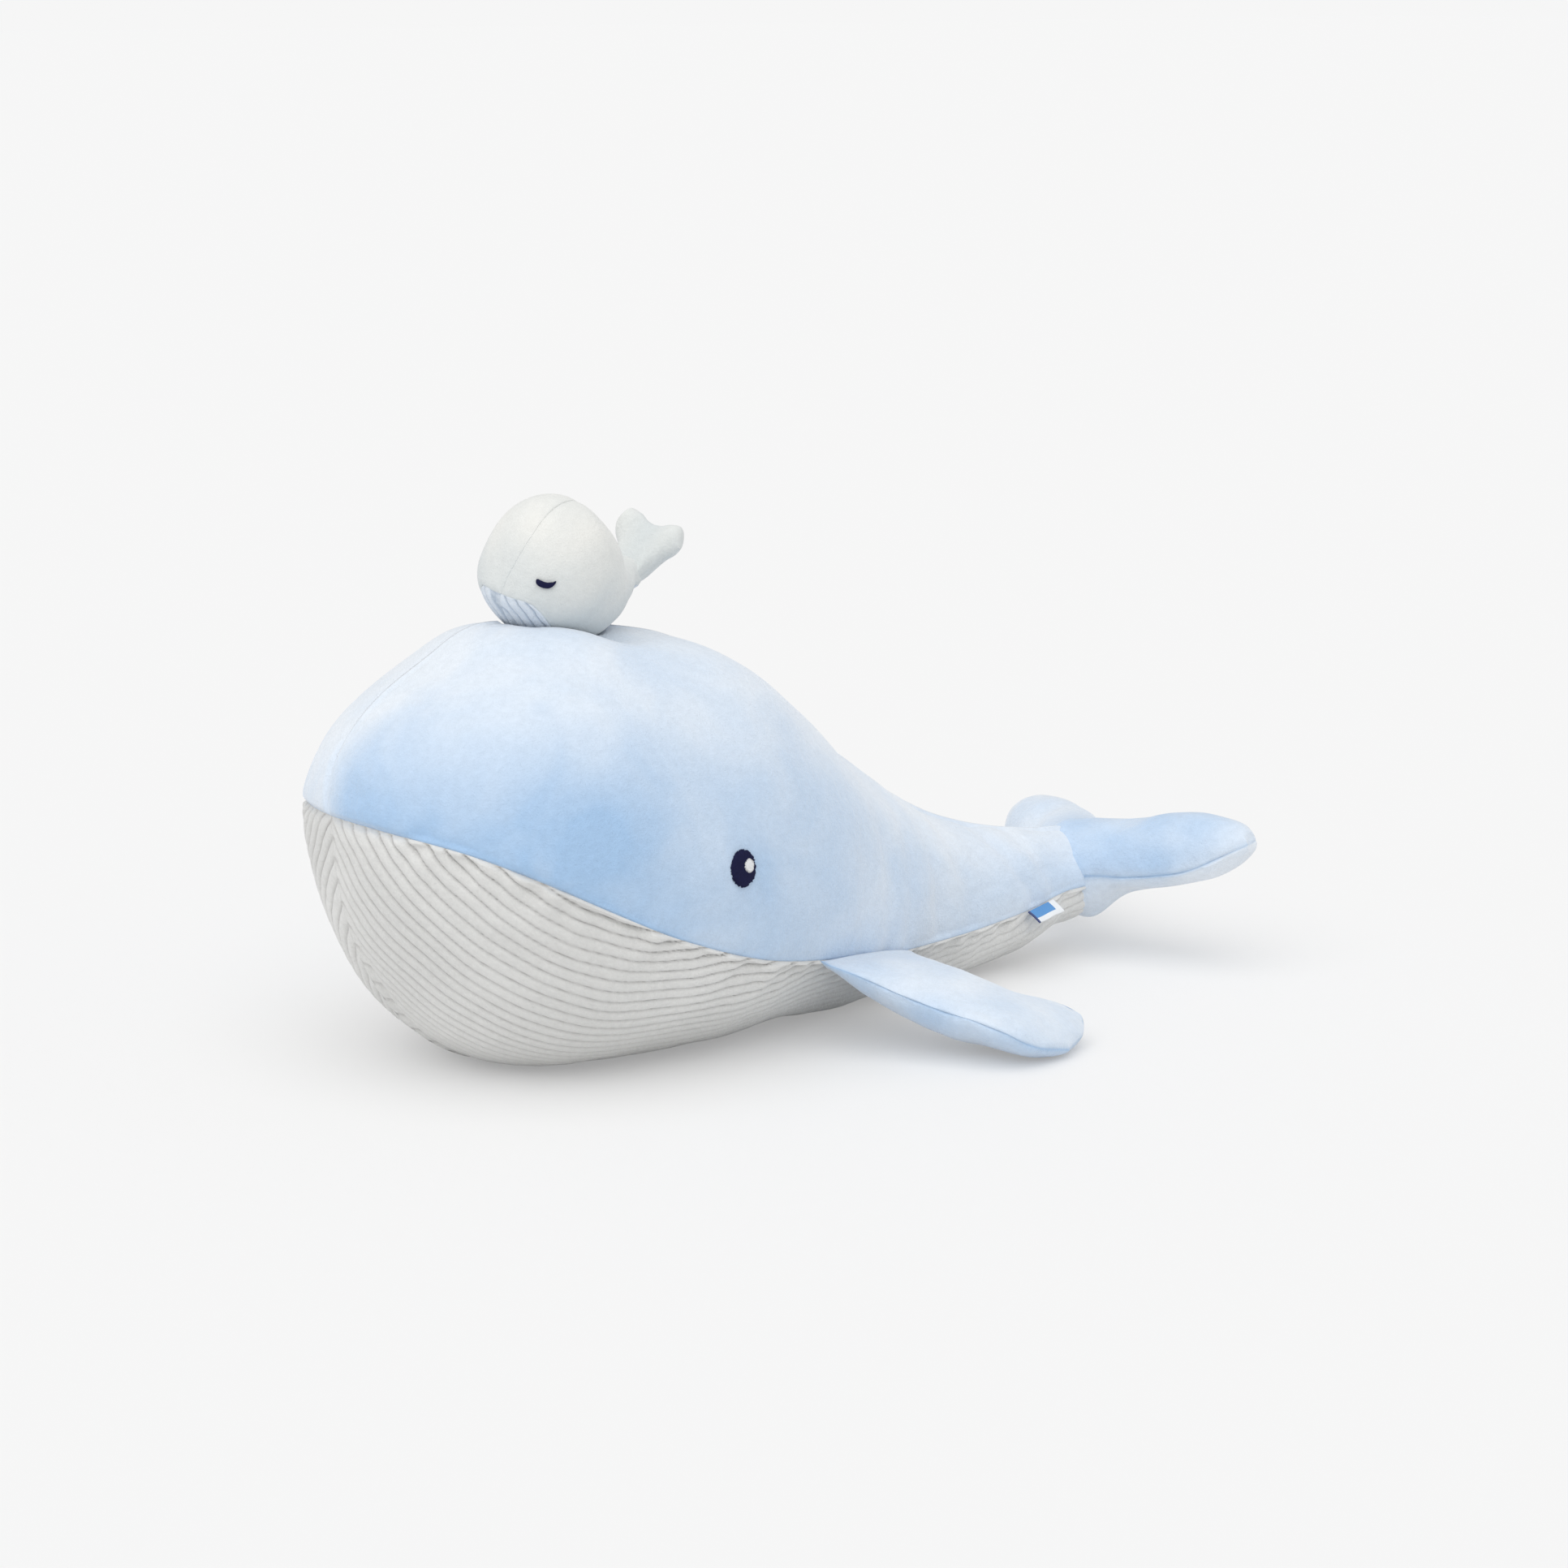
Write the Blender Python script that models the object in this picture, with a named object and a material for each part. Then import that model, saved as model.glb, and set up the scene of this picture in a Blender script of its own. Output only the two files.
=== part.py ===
"""A stuffed plush whale with a small calf sewn on its head, in metres, +Z up.

The nose points to -X and the whale's left side to -Y. The whale lies on the floor at z = 0, and the
origin is on the floor under the middle of its length and width. Every stuffed piece is a fabric skin,
cut in panels, round a loose filling.
"""

import math
from types import SimpleNamespace

import bmesh
import bpy
import numpy as np
from mathutils import Matrix, Vector
from mathutils.bvhtree import BVHTree
from mathutils.kdtree import KDTree

# Cloth and thread
fabric_thickness = 0.002
filling_gap = 0.0005  # between a filling and the inside of its skin
seam_gap = 0.0012  # between two panels along a seam
pole_radius = 0.0015  # round opening where the seams of a body meet
skin_reach = 0.02  # how far over a skin the search for it starts
weld_distance = 0.00001

# Whale body
body_length = 0.530
body_height = 0.241
body_width = 0.243
nose_round_length = 0.131
chin_power = 2.15
side_power = 0.92
tail_end_radius = 0.030
tail_end_half_width = 0.0316
tail_end_height = 0.0505
tail_seam_height = 0.0465
# Heights along the body: share of the length, share of the body height
back_shares = [(0, 1.0), (0.18, 1.0), (0.30, 0.997), (0.40, 0.965), (0.48, 0.89), (0.55, 0.78)]
back_shares += [(0.62, 0.635), (0.70, 0.505), (0.78, 0.41), (0.87, 0.355)]
underside_shares = [(0, -0.02), (0.3, -0.03), (0.6, -0.02), (0.76, -0.01), (0.87, 0.03)]
widest_shares = [(0, 0.633), (0.15, 0.55), (0.3, 0.45), (0.5, 0.35), (0.65, 0.25), (0.8, 0.205)]
mouth_seam_shares = [(0, 0.633), (0.05, 0.615), (0.12, 0.555), (0.20, 0.465), (0.28, 0.365), (0.40, 0.255)]
mouth_seam_shares += [(0.50, 0.21), (0.62, 0.17), (0.74, 0.16), (0.85, 0.17)]
# Share of the length, share of the body width
width_shares = [(0, 1.0), (0.25, 1.04), (0.38, 1.0), (0.5, 0.86), (0.62, 0.65), (0.74, 0.47), (0.85, 0.35)]
body_rows = SimpleNamespace(nose=8, middle=7, tail=5)
body_columns = SimpleNamespace(belly=5, crown=6)

# Whale eyes: a patch of satin stitch with a white highlight
eye_along_share = 0.353
eye_height_share = 0.504
eye_width = 0.018
eye_height = 0.0205
eye_relief = 0.0012
highlight_width = 0.0065
highlight_height = 0.0076
highlight_relief = 0.0006
highlight_behind = 0.0034
highlight_up = 0.0009
stitch_gap = 0.0003  # under a stitched patch
eye_rows = 6
eye_ring = 16

# Fins, sewn into the mouth seam
fin_front_share = 0.48
fin_rear_share = 0.64
fin_span = 0.1195
fin_half_thickness = 0.0125
fin_root_radius = 0.004
fin_root_gap = 0.0004
fin_floor_gap = 0.0005
fin_most_droop = math.radians(40)
fin_rows = 10
fin_ring = 12
fin_station_power = 1.5  # over 1, rows lie closer together towards the tip
# The skin that a seamed piece must clear: steps, and how far above and below the seam
seam_steps = 8
seam_reach_turn = math.radians(30)
# Plan of a fin: share of the span, share of the root chord from the middle of the root
fin_front_edge_shares = [(0, -0.50), (0.2, -0.43), (0.5, -0.31), (0.7, -0.24), (0.88, -0.13), (0.97, 0.08)]
fin_front_edge_shares += [(1, 0.36)]
fin_rear_edge_shares = [(0, 0.50), (0.15, 0.50), (0.32, 0.54), (0.52, 0.64), (0.70, 0.77), (0.84, 0.76)]
fin_rear_edge_shares += [(0.95, 0.62), (1, 0.36)]
# Swelling of a fin: share of the span, share of the rise from the root radius to the half thickness
fin_swell_shares = [(0, 0.0), (0.15, 0.42), (0.4, 1.0), (0.7, 1.0), (1, 0.75)]
fin_tip_round_share = 0.72

# Fluke, sewn to the tail end
fluke_half_span = 0.113
fluke_depth = 0.087
fluke_half_thickness = 0.0285
fluke_tip_rise = 0.005
fluke_tilt = math.radians(11)
fluke_curl = math.radians(2)
fluke_roll = math.radians(6)
fluke_gap = 0.0007
fluke_rows = 16
fluke_ring = 12
# Plan of the fluke: share of the half span, share of the depth behind the hinge
fluke_front_edge_shares = [(0, -0.17), (0.18, -0.07), (0.32, 0.05), (0.5, 0.16), (0.8, 0.40), (0.95, 0.60)]
fluke_front_edge_shares += [(1, 0.76)]
fluke_rear_edge_shares = [(0, 0.67), (0.12, 0.74), (0.35, 0.90), (0.6, 0.99), (0.8, 1.0), (0.95, 0.93)]
fluke_rear_edge_shares += [(1, 0.76)]
fluke_swell_shares = [(0, 1.0), (0.2, 0.89), (0.4, 0.79), (0.6, 0.75), (0.8, 0.67), (1, 0.52)]
fluke_tip_round_share = 0.78
dome_segments = 32

# Woven label in the mouth seam near the tail
label_front_share = 0.846
label_length = 0.022
label_reach = 0.0085
label_thickness = 0.001
label_gap = 0.0005
label_droop = math.radians(30)

# Calf body
calf_length = 0.121
calf_height = 0.0795
calf_width = 0.0795
calf_nose_round_length = 0.0397
calf_chin_power = 2.0
calf_side_power = 1.0
calf_tail_end_radius = 0.011
calf_tail_end_half_width = 0.0115
calf_tail_end_height = 0.0355
calf_tail_seam_height = 0.0305
calf_back_shares = [(0, 1.0), (0.31, 1.0), (0.46, 0.92), (0.64, 0.66), (0.80, 0.585)]
calf_underside_shares = [(0, -0.03), (0.31, -0.07), (0.5, -0.08), (0.64, 0.0), (0.80, 0.17)]
calf_widest_shares = [(0, 0.27), (0.07, 0.37), (0.15, 0.425), (0.31, 0.47), (0.5, 0.42), (0.8, 0.41)]
calf_mouth_seam_shares = [(0, 0.27), (0.08, 0.205), (0.2, 0.125), (0.3, 0.10), (0.45, 0.09), (0.64, 0.17)]
calf_mouth_seam_shares += [(0.8, 0.30)]
calf_width_shares = [(0, 1.0), (0.31, 1.01), (0.48, 0.93), (0.64, 0.70), (0.80, 0.45)]
calf_rows = SimpleNamespace(nose=6, middle=4, tail=4)
calf_columns = SimpleNamespace(belly=3, crown=6)
# Where the calf sits: the middle of its head over the whale's, turned and leaning
calf_seat_share = 0.284
calf_seat_right = 0.013
calf_yaw = math.radians(20)
calf_lean = math.radians(15)
calf_lean_heading = math.radians(55)
calf_seat_lift = 0.036  # middle of its head over the skin under it
calf_rest_gap = 0.0006
calf_rock = math.radians(8.5)

# Calf eyes: a shut eye, one arc of thread
calf_eye_left_along_share = 0.068
calf_eye_right_along_share = 0.27  # further back: it stays out of sight from the left front
calf_eye_height_share = 0.435
calf_eye_width = 0.0095
calf_eye_sag = 0.0022
calf_eye_thread_radius = 0.001
calf_eye_points = 7

# Calf tail
calf_fluke_half_span = 0.0235
calf_fluke_depth = 0.0375
calf_fluke_half_thickness = 0.0072
calf_fluke_tip_rise = 0.001
calf_fluke_tilt = math.radians(40)
calf_fluke_curl = math.radians(45)
calf_fluke_rows = 12
calf_fluke_ring = 10
calf_fluke_front_edge_shares = [(0, -0.14), (0.4, -0.08), (0.52, 0.18), (0.7, 0.42), (0.9, 0.57), (1, 0.71)]
calf_fluke_rear_edge_shares = [(0, 0.87), (0.2, 0.91), (0.5, 1.03), (0.75, 1.06), (0.93, 0.92), (1, 0.71)]
calf_fluke_swell_shares = [(0, 1.0), (0.4, 1.0), (0.7, 0.9), (1, 0.7)]

# Thread knot that ties the calf to the whale's head
knot_radius = 0.0012
knot_gap = 0.0003
knot_segments = 8
knot_cutter_segments = 12

# Colours in linear RGB, and roughness
blue_plush_colour = (0.62, 0.76, 0.89)
rib_plush_colour = (0.66, 0.65, 0.62)
calf_plush_colour = (0.80, 0.80, 0.78)
filling_colour = (0.85, 0.85, 0.85)
navy_thread_colour = (0.012, 0.012, 0.055)
white_thread_colour = (0.75, 0.75, 0.75)
label_colour = (0.20, 0.42, 0.70)
plush_roughness = 0.95
thread_roughness = 0.6

up = Vector((0, 0, 1))
# Steps for measuring a slope: of a share, and of an angle
small_share = 0.001
small_turn = math.radians(0.3)
halvings = 30


def curve_through(points, at):
    """A smooth curve through (share, value) points that doesn't overshoot them."""
    shares, values = np.array(points, float).T
    steps = np.diff(shares)
    rises = np.diff(values) / steps
    slopes = np.concatenate([rises[:1], np.zeros(len(rises) - 1), rises[-1:]])
    for i in range(1, len(rises)):
        if rises[i - 1] * rises[i] > 0:
            near, far = 2 * steps[i] + steps[i - 1], steps[i] + 2 * steps[i - 1]
            slopes[i] = (near + far) / (near / rises[i - 1] + far / rises[i])
    at = min(max(at, shares[0]), shares[-1])
    i = min(int(np.searchsorted(shares, at, side="right")) - 1, len(steps) - 1)
    t = (at - shares[i]) / steps[i]
    ends = values[i] * (1 + 2 * t) * (1 - t) ** 2 + values[i + 1] * t * t * (3 - 2 * t)
    return float(ends + steps[i] * t * (1 - t) * (slopes[i] * (1 - t) - slopes[i + 1] * t))


def scaled(shares, size):
    return [(share, value * size) for share, value in shares]


def round_share(at, start):
    """1 up to start, then falling to 0 at 1 along a quarter circle."""
    return math.sqrt(max(0.0, 1 - (max(0.0, at - start) / (1 - start)) ** 2))


def inset_of(half, inset):
    """A half size made smaller by about the inset, and never less than nothing."""
    return half * half / (half + inset) if half > 0 else 0.0


def layer_height(height, layer):
    """A height over the middle of a flat piece: layer 1 keeps the upper half, -1 the lower, 0 both."""
    return layer * (max(layer * height, 0.0) + seam_gap / 2) if layer else height


class Body:
    """A whale's body from its nose at x = 0: rings round the X axis, with a round nose and tail end.

    place moves it to where it belongs, and settle, if set, shapes each mesh to what it lies on.
    """

    def __init__(self, **sizes):
        vars(self).update(sizes)
        self.place, self.settle = Matrix(), None
        self.hinge_share = 1 - self.end_radius / self.length
        self.hinge_place = Vector((self.length - self.end_radius, 0, self.end_height))
        for table, end in (
            ("back", self.end_height + self.end_radius),
            ("underside", self.end_height - self.end_radius),
            ("widest", self.end_height),
            ("half_width", self.end_half_width),
            ("seam", self.end_seam_height),
        ):
            knots = [knot for knot in getattr(self, table) if knot[0] < self.hinge_share]
            setattr(self, table, knots + [(self.hinge_share, end), (1, end)])
        last_share = self.half_width[-3][0]
        self.power = [(0, self.side_power), (last_share, self.side_power), (self.hinge_share, 1), (1, 1)]
        self.stations = self.place_stations()

    def place_stations(self):
        """Shares of the length, one for each row: even turns round both ends, even steps between."""
        rows, middle = self.rows, self.hinge_share - self.nose_share(1)
        nose = [self.nose_share(1 - math.cos(math.pi / 2 * i / rows.nose)) for i in range(rows.nose)]
        between = [self.nose_share(1) + middle * i / rows.middle for i in range(rows.middle)]
        turns = [math.sin(math.pi / 2 * i / rows.tail) for i in range(rows.tail + 1)]
        return nose + between + [self.hinge_share + (1 - self.hinge_share) * turn for turn in turns]

    def nose_share(self, share):
        return share * self.nose_round / self.length

    def panel_station(self, row):
        """A row's share of the length, kept off the very nose and tail so that the seams can meet there."""
        half_height = curve_through(self.back, 0) - curve_through(self.widest, 0)
        first = self.nose_share(1 - math.sqrt(1 - (pole_radius / half_height) ** 2))
        last_turn = math.sqrt(1 - (pole_radius / self.end_radius) ** 2)
        last = self.hinge_share + (1 - self.hinge_share) * last_turn
        return min(max(self.stations[row], first), last)

    def caps(self, along):
        """How much the round ends leave of the upper and of the lower half of a ring."""
        x = along * self.length
        front = min(x / self.nose_round, 1)
        behind = min(max((self.length - x) / self.end_radius, 0), 1)
        tail = math.sqrt(1 - (1 - behind) ** 2)
        upper = math.sqrt(1 - (1 - front) ** 2)
        lower = (1 - (1 - front) ** self.chin_power) ** (1 / self.chin_power)
        return upper * tail, lower * tail

    def seam_angle(self, along):
        seam = curve_through(self.seam, along)
        middle = curve_through(self.widest, along)
        edge = curve_through(self.back if seam > middle else self.underside, along)
        return math.asin(max(-1.0, min(1.0, (seam - middle) / abs(edge - middle))))

    def angle_at(self, along, height):
        """The angle of the skin point at a height above the widest line."""
        middle = curve_through(self.widest, along)
        reach = (curve_through(self.back, along) - middle) * self.caps(along)[0]
        return math.asin((height - middle) / reach)

    def point(self, along, angle, side=-1):
        """A skin point: angle is -90 degrees at the belly and 90 at the back, side -1 the left."""
        upper, lower = self.caps(along)
        middle = curve_through(self.widest, along)
        if angle > 0:
            reach = (curve_through(self.back, along) - middle) * upper
        else:
            reach = (middle - curve_through(self.underside, along)) * lower
        cosine = max(0.0, math.cos(angle)) ** curve_through(self.power, along)
        y = side * curve_through(self.half_width, along) * cosine * upper
        return Vector((along * self.length, y, max(self.floor, middle + reach * math.sin(angle))))

    def normal(self, along, angle, side=-1):
        """The outward normal, from short steps on the skin."""
        low, high = max(along - small_share, 0), min(along + small_share, 1)
        limit = math.pi / 2 - 2 * small_turn
        angle = max(-limit, min(limit, angle))
        forward = self.point(high, angle, side) - self.point(low, angle, side)
        round_it = self.point(along, angle + small_turn, side) - self.point(along, angle - small_turn, side)
        return forward.cross(round_it).normalized() * -side

    def edge_turn(self, along, angle, side, gap):
        """The turn round the body that a gap takes."""
        across = self.point(along, angle + small_turn, side) - self.point(along, angle - small_turn, side)
        return gap / (across.length / (2 * small_turn))

    def panel_angles(self, along, part, side, gap):
        """The first and last angle of a panel in a row, with a gap left inside its seams."""
        seam = self.seam_angle(along)
        low, high = (seam, math.pi / 2) if part == "crown" else (-math.pi / 2, seam)
        if not gap:
            return low, high
        low_turn = self.edge_turn(along, low + 2 * small_turn, side, gap)
        high_turn = self.edge_turn(along, high - 2 * small_turn, side, gap)
        return low + low_turn, high - high_turn

    def add_patch(self, bm, part, side, gap):
        """A grid between two seams, facing out. With no gap it runs to the seams, the nose and the tail."""
        rows = len(self.stations) - 1
        grid = bmesh.ops.create_grid(bm, x_segments=rows, y_segments=getattr(self.columns, part), size=0.5)
        faces = list({face for vertex in grid["verts"] for face in vertex.link_faces})
        faces = bmesh.ops.triangulate(bm, faces=faces, quad_method="FIXED")["faces"]
        for vertex in grid["verts"]:
            row = round((vertex.co.x + 0.5) * rows)
            along = self.panel_station(row) if gap else self.stations[row]
            low, high = self.panel_angles(along, part, side, gap)
            vertex.co = self.point(along, low + (high - low) * (vertex.co.y + 0.5), side)
        if side > 0:
            bmesh.ops.reverse_faces(bm, faces=faces)

    def placed(self, name, bm):
        mesh = mesh_of(name, bm)
        mesh.transform(self.place)
        if self.settle:
            self.settle(mesh)
        return mesh

    def outside(self, name):
        """The whole outside as one closed surface, with no gap at the seams."""
        bm = bmesh.new()
        for part in ("crown", "belly"):
            for side in (-1, 1):
                self.add_patch(bm, part, side, 0.0)
        bmesh.ops.remove_doubles(bm, verts=bm.verts, dist=weld_distance)
        return self.placed(name, bm)

    def panel(self, name, part, side, outside):
        """One panel of the skin, as thick as its fabric. Its normals are the whole outside's, so
        that neighbours meet in a mitre."""
        bm = bmesh.new()
        self.add_patch(bm, part, side, seam_gap / 2)
        mesh = self.placed(name, bm)
        tree = KDTree(len(outside.vertices))
        for vertex in outside.vertices:
            tree.insert(vertex.co, vertex.index)
        tree.balance()
        bm = bmesh.new()
        bm.from_mesh(mesh)
        inner = bmesh.ops.extrude_face_region(bm, geom=bm.faces, use_keep_orig=True)["geom"]
        for vertex in inner:
            if isinstance(vertex, bmesh.types.BMVert):
                nearest = tree.find(vertex.co)[1]
                vertex.co -= outside.vertices[nearest].normal * fabric_thickness
        bmesh.ops.recalc_face_normals(bm, faces=bm.faces)
        if bm.calc_volume(signed=True) < 0:
            bmesh.ops.reverse_faces(bm, faces=bm.faces)
        bm.to_mesh(mesh)
        bm.free()
        return mesh

    def filling(self, name):
        """The stuffing: the outside moved in by the fabric and a small gap."""
        mesh = self.outside(name)
        normals = [vertex.normal.copy() for vertex in mesh.vertices]
        for vertex, normal in zip(mesh.vertices, normals):
            vertex.co -= normal * (fabric_thickness + filling_gap)
        return mesh


class Fin:
    """A flat stuffed fin: out from its hinge along x of its frame, back along y, thick along z."""

    def __init__(self, chord, frame):
        self.chord, self.frame = chord, frame
        self.rows, self.ring = fin_rows, fin_ring

    def station(self, row):
        """Distance from the hinge: round the root first, then out to the tip in steps that get shorter."""
        if row < 2:
            return -fin_root_radius * (1 if row == 0 else math.sqrt(0.5))
        share = (row - 2) / (self.rows - 2)
        return fin_span * (1 - (1 - share) ** fin_station_power)

    def half_thickness(self, out):
        if out <= 0:
            return math.sqrt(max(0.0, fin_root_radius**2 - out**2))
        share = out / fin_span
        rise = (fin_half_thickness - fin_root_radius) * curve_through(fin_swell_shares, share)
        return (fin_root_radius + rise) * round_share(share, fin_tip_round_share)

    def at(self, row, turn, inset=0.0, layer=0):
        out = self.station(row)
        share = max(out / fin_span, 0)
        front = curve_through(fin_front_edge_shares, share) * self.chord
        rear = curve_through(fin_rear_edge_shares, share) * self.chord
        half = thick = 0.0
        if 0 < row < self.rows:
            half = inset_of((rear - front) / 2, inset)
            thick = inset_of(self.half_thickness(out), inset)
        length = fin_root_radius + fin_span
        out = inset - fin_root_radius + (out + fin_root_radius) * (1 - 2 * inset / length)
        along = (front + rear) / 2 + half * math.cos(turn)
        return self.frame @ Vector((out, along, layer_height(thick * math.sin(turn), layer)))


class Fluke:
    """Two stuffed lobes across a tail: back along x of the frame, across along y, thick along z."""

    def __init__(self, frame, **sizes):
        vars(self).update(sizes)
        self.frame = frame

    def at(self, row, turn, inset=0.0, layer=0):
        across = -math.cos(math.pi * row / self.rows)
        share = abs(across)
        front = curve_through(self.front_edge, share)
        rear = curve_through(self.rear_edge, share)
        thick = curve_through(self.swell, share) * round_share(share, fluke_tip_round_share)
        x = (front + rear) / 2 + inset_of((rear - front) / 2, inset) * math.cos(turn)
        z = self.tip_rise * share**2 + layer_height(inset_of(thick, inset) * math.sin(turn), layer)
        bend = self.depth / self.curl
        turned = x / bend
        x, z = (bend - z) * math.sin(turned), bend - (bend - z) * math.cos(turned)
        return self.frame @ Vector((x, across * (self.half_span - inset), z))


def collection_of(name):
    collection = bpy.data.collections.new(name)
    bpy.context.scene.collection.children.link(collection)
    return collection


def plain_material(name, colour, roughness):
    material = bpy.data.materials.new(name)
    material.use_nodes = True
    shader = material.node_tree.nodes["Principled BSDF"]
    shader.inputs["Base Color"].default_value = (*colour, 1)
    shader.inputs["Roughness"].default_value = roughness
    shader.inputs["Metallic"].default_value = 0
    return material


def mesh_of(name, bm):
    mesh = bpy.data.meshes.new(name)
    bm.to_mesh(mesh)
    bm.free()
    mesh.shade_smooth()
    return mesh


def moved_sphere(name, rows, ring, place):
    """A unit sphere whose vertices are moved by place(row, turn)."""
    bm = bmesh.new()
    bmesh.ops.create_uvsphere(bm, u_segments=ring, v_segments=rows, radius=1)
    bmesh.ops.triangulate(bm, faces=bm.faces, quad_method="FIXED")
    for vertex in bm.verts:
        row = round(math.acos(max(-1.0, min(1.0, vertex.co.z))) / math.pi * rows)
        step = round(math.atan2(vertex.co.y, vertex.co.x) / (2 * math.pi) * ring) % ring
        vertex.co = place(row, 2 * math.pi * step / ring)
    if bm.calc_volume(signed=True) < 0:
        bmesh.ops.reverse_faces(bm, faces=bm.faces)
    return mesh_of(name, bm)


def ball(name, centre, radii, segments):
    """A ball or an ellipsoid with its poles on the Y axis."""
    bm = bmesh.new()
    bmesh.ops.create_uvsphere(bm, u_segments=segments, v_segments=segments // 2, radius=1)
    turn = Matrix.Rotation(math.pi / 2, 4, "X")
    matrix = Matrix.Translation(centre) @ Matrix.Diagonal((*radii, 1)) @ turn
    bmesh.ops.transform(bm, matrix=matrix, verts=bm.verts)
    return mesh_of(name, bm)


def block(name, frame, low, high):
    """A box between two corners of a frame."""
    bm = bmesh.new()
    bmesh.ops.create_cube(bm, size=1)
    size = Matrix.Diagonal((*(high - low), 1))
    bmesh.ops.transform(bm, matrix=frame @ Matrix.Translation((low + high) / 2) @ size, verts=bm.verts)
    bmesh.ops.recalc_face_normals(bm, faces=bm.faces)
    return mesh_of(name, bm)


def frame_of(place, x_axis, y_axis, z_axis):
    frame = Matrix((x_axis, y_axis, z_axis)).transposed().to_4x4()
    frame.translation = place
    return frame


def tree_of(mesh):
    """A search tree over the faces of a mesh."""
    points = [vertex.co for vertex in mesh.vertices]
    return BVHTree.FromPolygons(points, [polygon.vertices for polygon in mesh.polygons])


def on_skin(tree, point, normal, lift):
    """The place on a skin straight under a point, raised by lift."""
    place = tree.ray_cast(point + normal * skin_reach, -normal, 2 * skin_reach)[0]
    return (place or point) + normal * lift


class Toy:
    """Holds the collections, materials, joints and pieces as they are made."""

    def __init__(self):
        self.pieces = collection_of("plush_whale")
        self.cutters = collection_of("cutters")
        self.places = {}
        self.axes = {}
        self.blue = plain_material("blue_minky", blue_plush_colour, plush_roughness)
        self.ribbed = plain_material("ribbed_plush", rib_plush_colour, plush_roughness)
        self.white = plain_material("white_minky", calf_plush_colour, plush_roughness)
        self.wadding = plain_material("polyester_filling", filling_colour, plush_roughness)
        self.navy = plain_material("navy_thread", navy_thread_colour, thread_roughness)
        self.thread = plain_material("white_thread", white_thread_colour, thread_roughness)
        self.satin = plain_material("woven_label", label_colour, thread_roughness)
        self.root = self.joint("whale_root", Vector((0, 0, 0)), None)

    def joint(self, name, place, parent, axis=None):
        """An empty on a joint's axis, which carries what turns with it."""
        empty = bpy.data.objects.new(name, None)
        self.pieces.objects.link(empty)
        empty.empty_display_size = tail_end_radius
        self.places[name] = place
        self.axes[name] = axis
        empty.parent = parent
        empty.location = place - self.places[parent.name] if parent else place
        return empty

    def report(self):
        """Prints where each joint is, and its axis."""
        for name, axis in self.axes.items():
            if axis:
                place = self.places[name] + self.root.location
                print(name, [round(n, 5) for n in place], [round(n, 5) for n in axis.normalized()])

    def piece(self, name, data, material, joint):
        obj = bpy.data.objects.new(name, data)
        self.pieces.objects.link(obj)
        data.materials.append(material)
        obj.parent = joint
        obj.location = -self.places[joint.name]
        return obj

    def cutter(self, data):
        obj = bpy.data.objects.new(data.name, data)
        self.cutters.objects.link(obj)
        obj.parent = self.root
        obj.hide_render = True
        obj.display_type = "WIRE"
        return obj

    def cut(self, obj, *cutters):
        for cutter in cutters:
            boolean = obj.modifiers.new(cutter.name, "BOOLEAN")
            boolean.operation = "DIFFERENCE"
            boolean.object = cutter


def whale_body():
    return Body(
        length=body_length,
        nose_round=nose_round_length,
        chin_power=chin_power,
        side_power=side_power,
        end_radius=tail_end_radius,
        end_half_width=tail_end_half_width,
        end_height=tail_end_height,
        end_seam_height=tail_seam_height,
        back=scaled(back_shares, body_height),
        underside=scaled(underside_shares, body_height),
        widest=scaled(widest_shares, body_height),
        seam=scaled(mouth_seam_shares, body_height),
        half_width=scaled(width_shares, body_width / 2),
        floor=0.0,
        rows=body_rows,
        columns=body_columns,
    )


def calf_body():
    return Body(
        length=calf_length,
        nose_round=calf_nose_round_length,
        chin_power=calf_chin_power,
        side_power=calf_side_power,
        end_radius=calf_tail_end_radius,
        end_half_width=calf_tail_end_half_width,
        end_height=calf_tail_end_height,
        end_seam_height=calf_tail_seam_height,
        back=scaled(calf_back_shares, calf_height),
        underside=scaled(calf_underside_shares, calf_height),
        widest=scaled(calf_widest_shares, calf_height),
        seam=scaled(calf_mouth_seam_shares, calf_height),
        half_width=scaled(calf_width_shares, calf_width / 2),
        floor=-calf_height,
        rows=calf_rows,
        columns=calf_columns,
    )


def add_body(toy, body, prefix, crown_material, belly_material, joint):
    """The four panels of a body and its filling. Returns the panels and a search tree of its outside."""
    outside = body.outside(f"{prefix}outside")
    panels = {}
    for part, material in (("crown", crown_material), ("belly", belly_material)):
        for side, word in ((-1, "left"), (1, "right")):
            name = f"{prefix}{part}_panel_{word}"
            panels[f"{part}_{word}"] = toy.piece(name, body.panel(name, part, side, outside), material, joint)
    name = f"{prefix}body_filling"
    toy.piece(name, body.filling(name), toy.wadding, joint)
    return panels, tree_of(outside)


def add_pillow(toy, pillow, prefix, words, material, joint, cutters=()):
    """A flat stuffed piece: two skins that meet at a seam round its edge, and the filling between them."""

    def mesh(name, inset, layer):
        def place(row, turn):
            return pillow.at(row, turn, inset, layer)

        return moved_sphere(name, pillow.rows, pillow.ring, place)

    lining = toy.cutter(mesh(f"{prefix}_lining_cutter", fabric_thickness, 0))
    for word, layer in zip(words, (1, -1)):
        name = f"{prefix}_{word}_panel"
        toy.cut(toy.piece(name, mesh(name, 0.0, layer), material, joint), lining, *cutters)
    name = f"{prefix}_filling"
    filling = mesh(name, fabric_thickness + filling_gap, 0)
    toy.cut(toy.piece(name, filling, toy.wadding, joint), *cutters)


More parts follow.
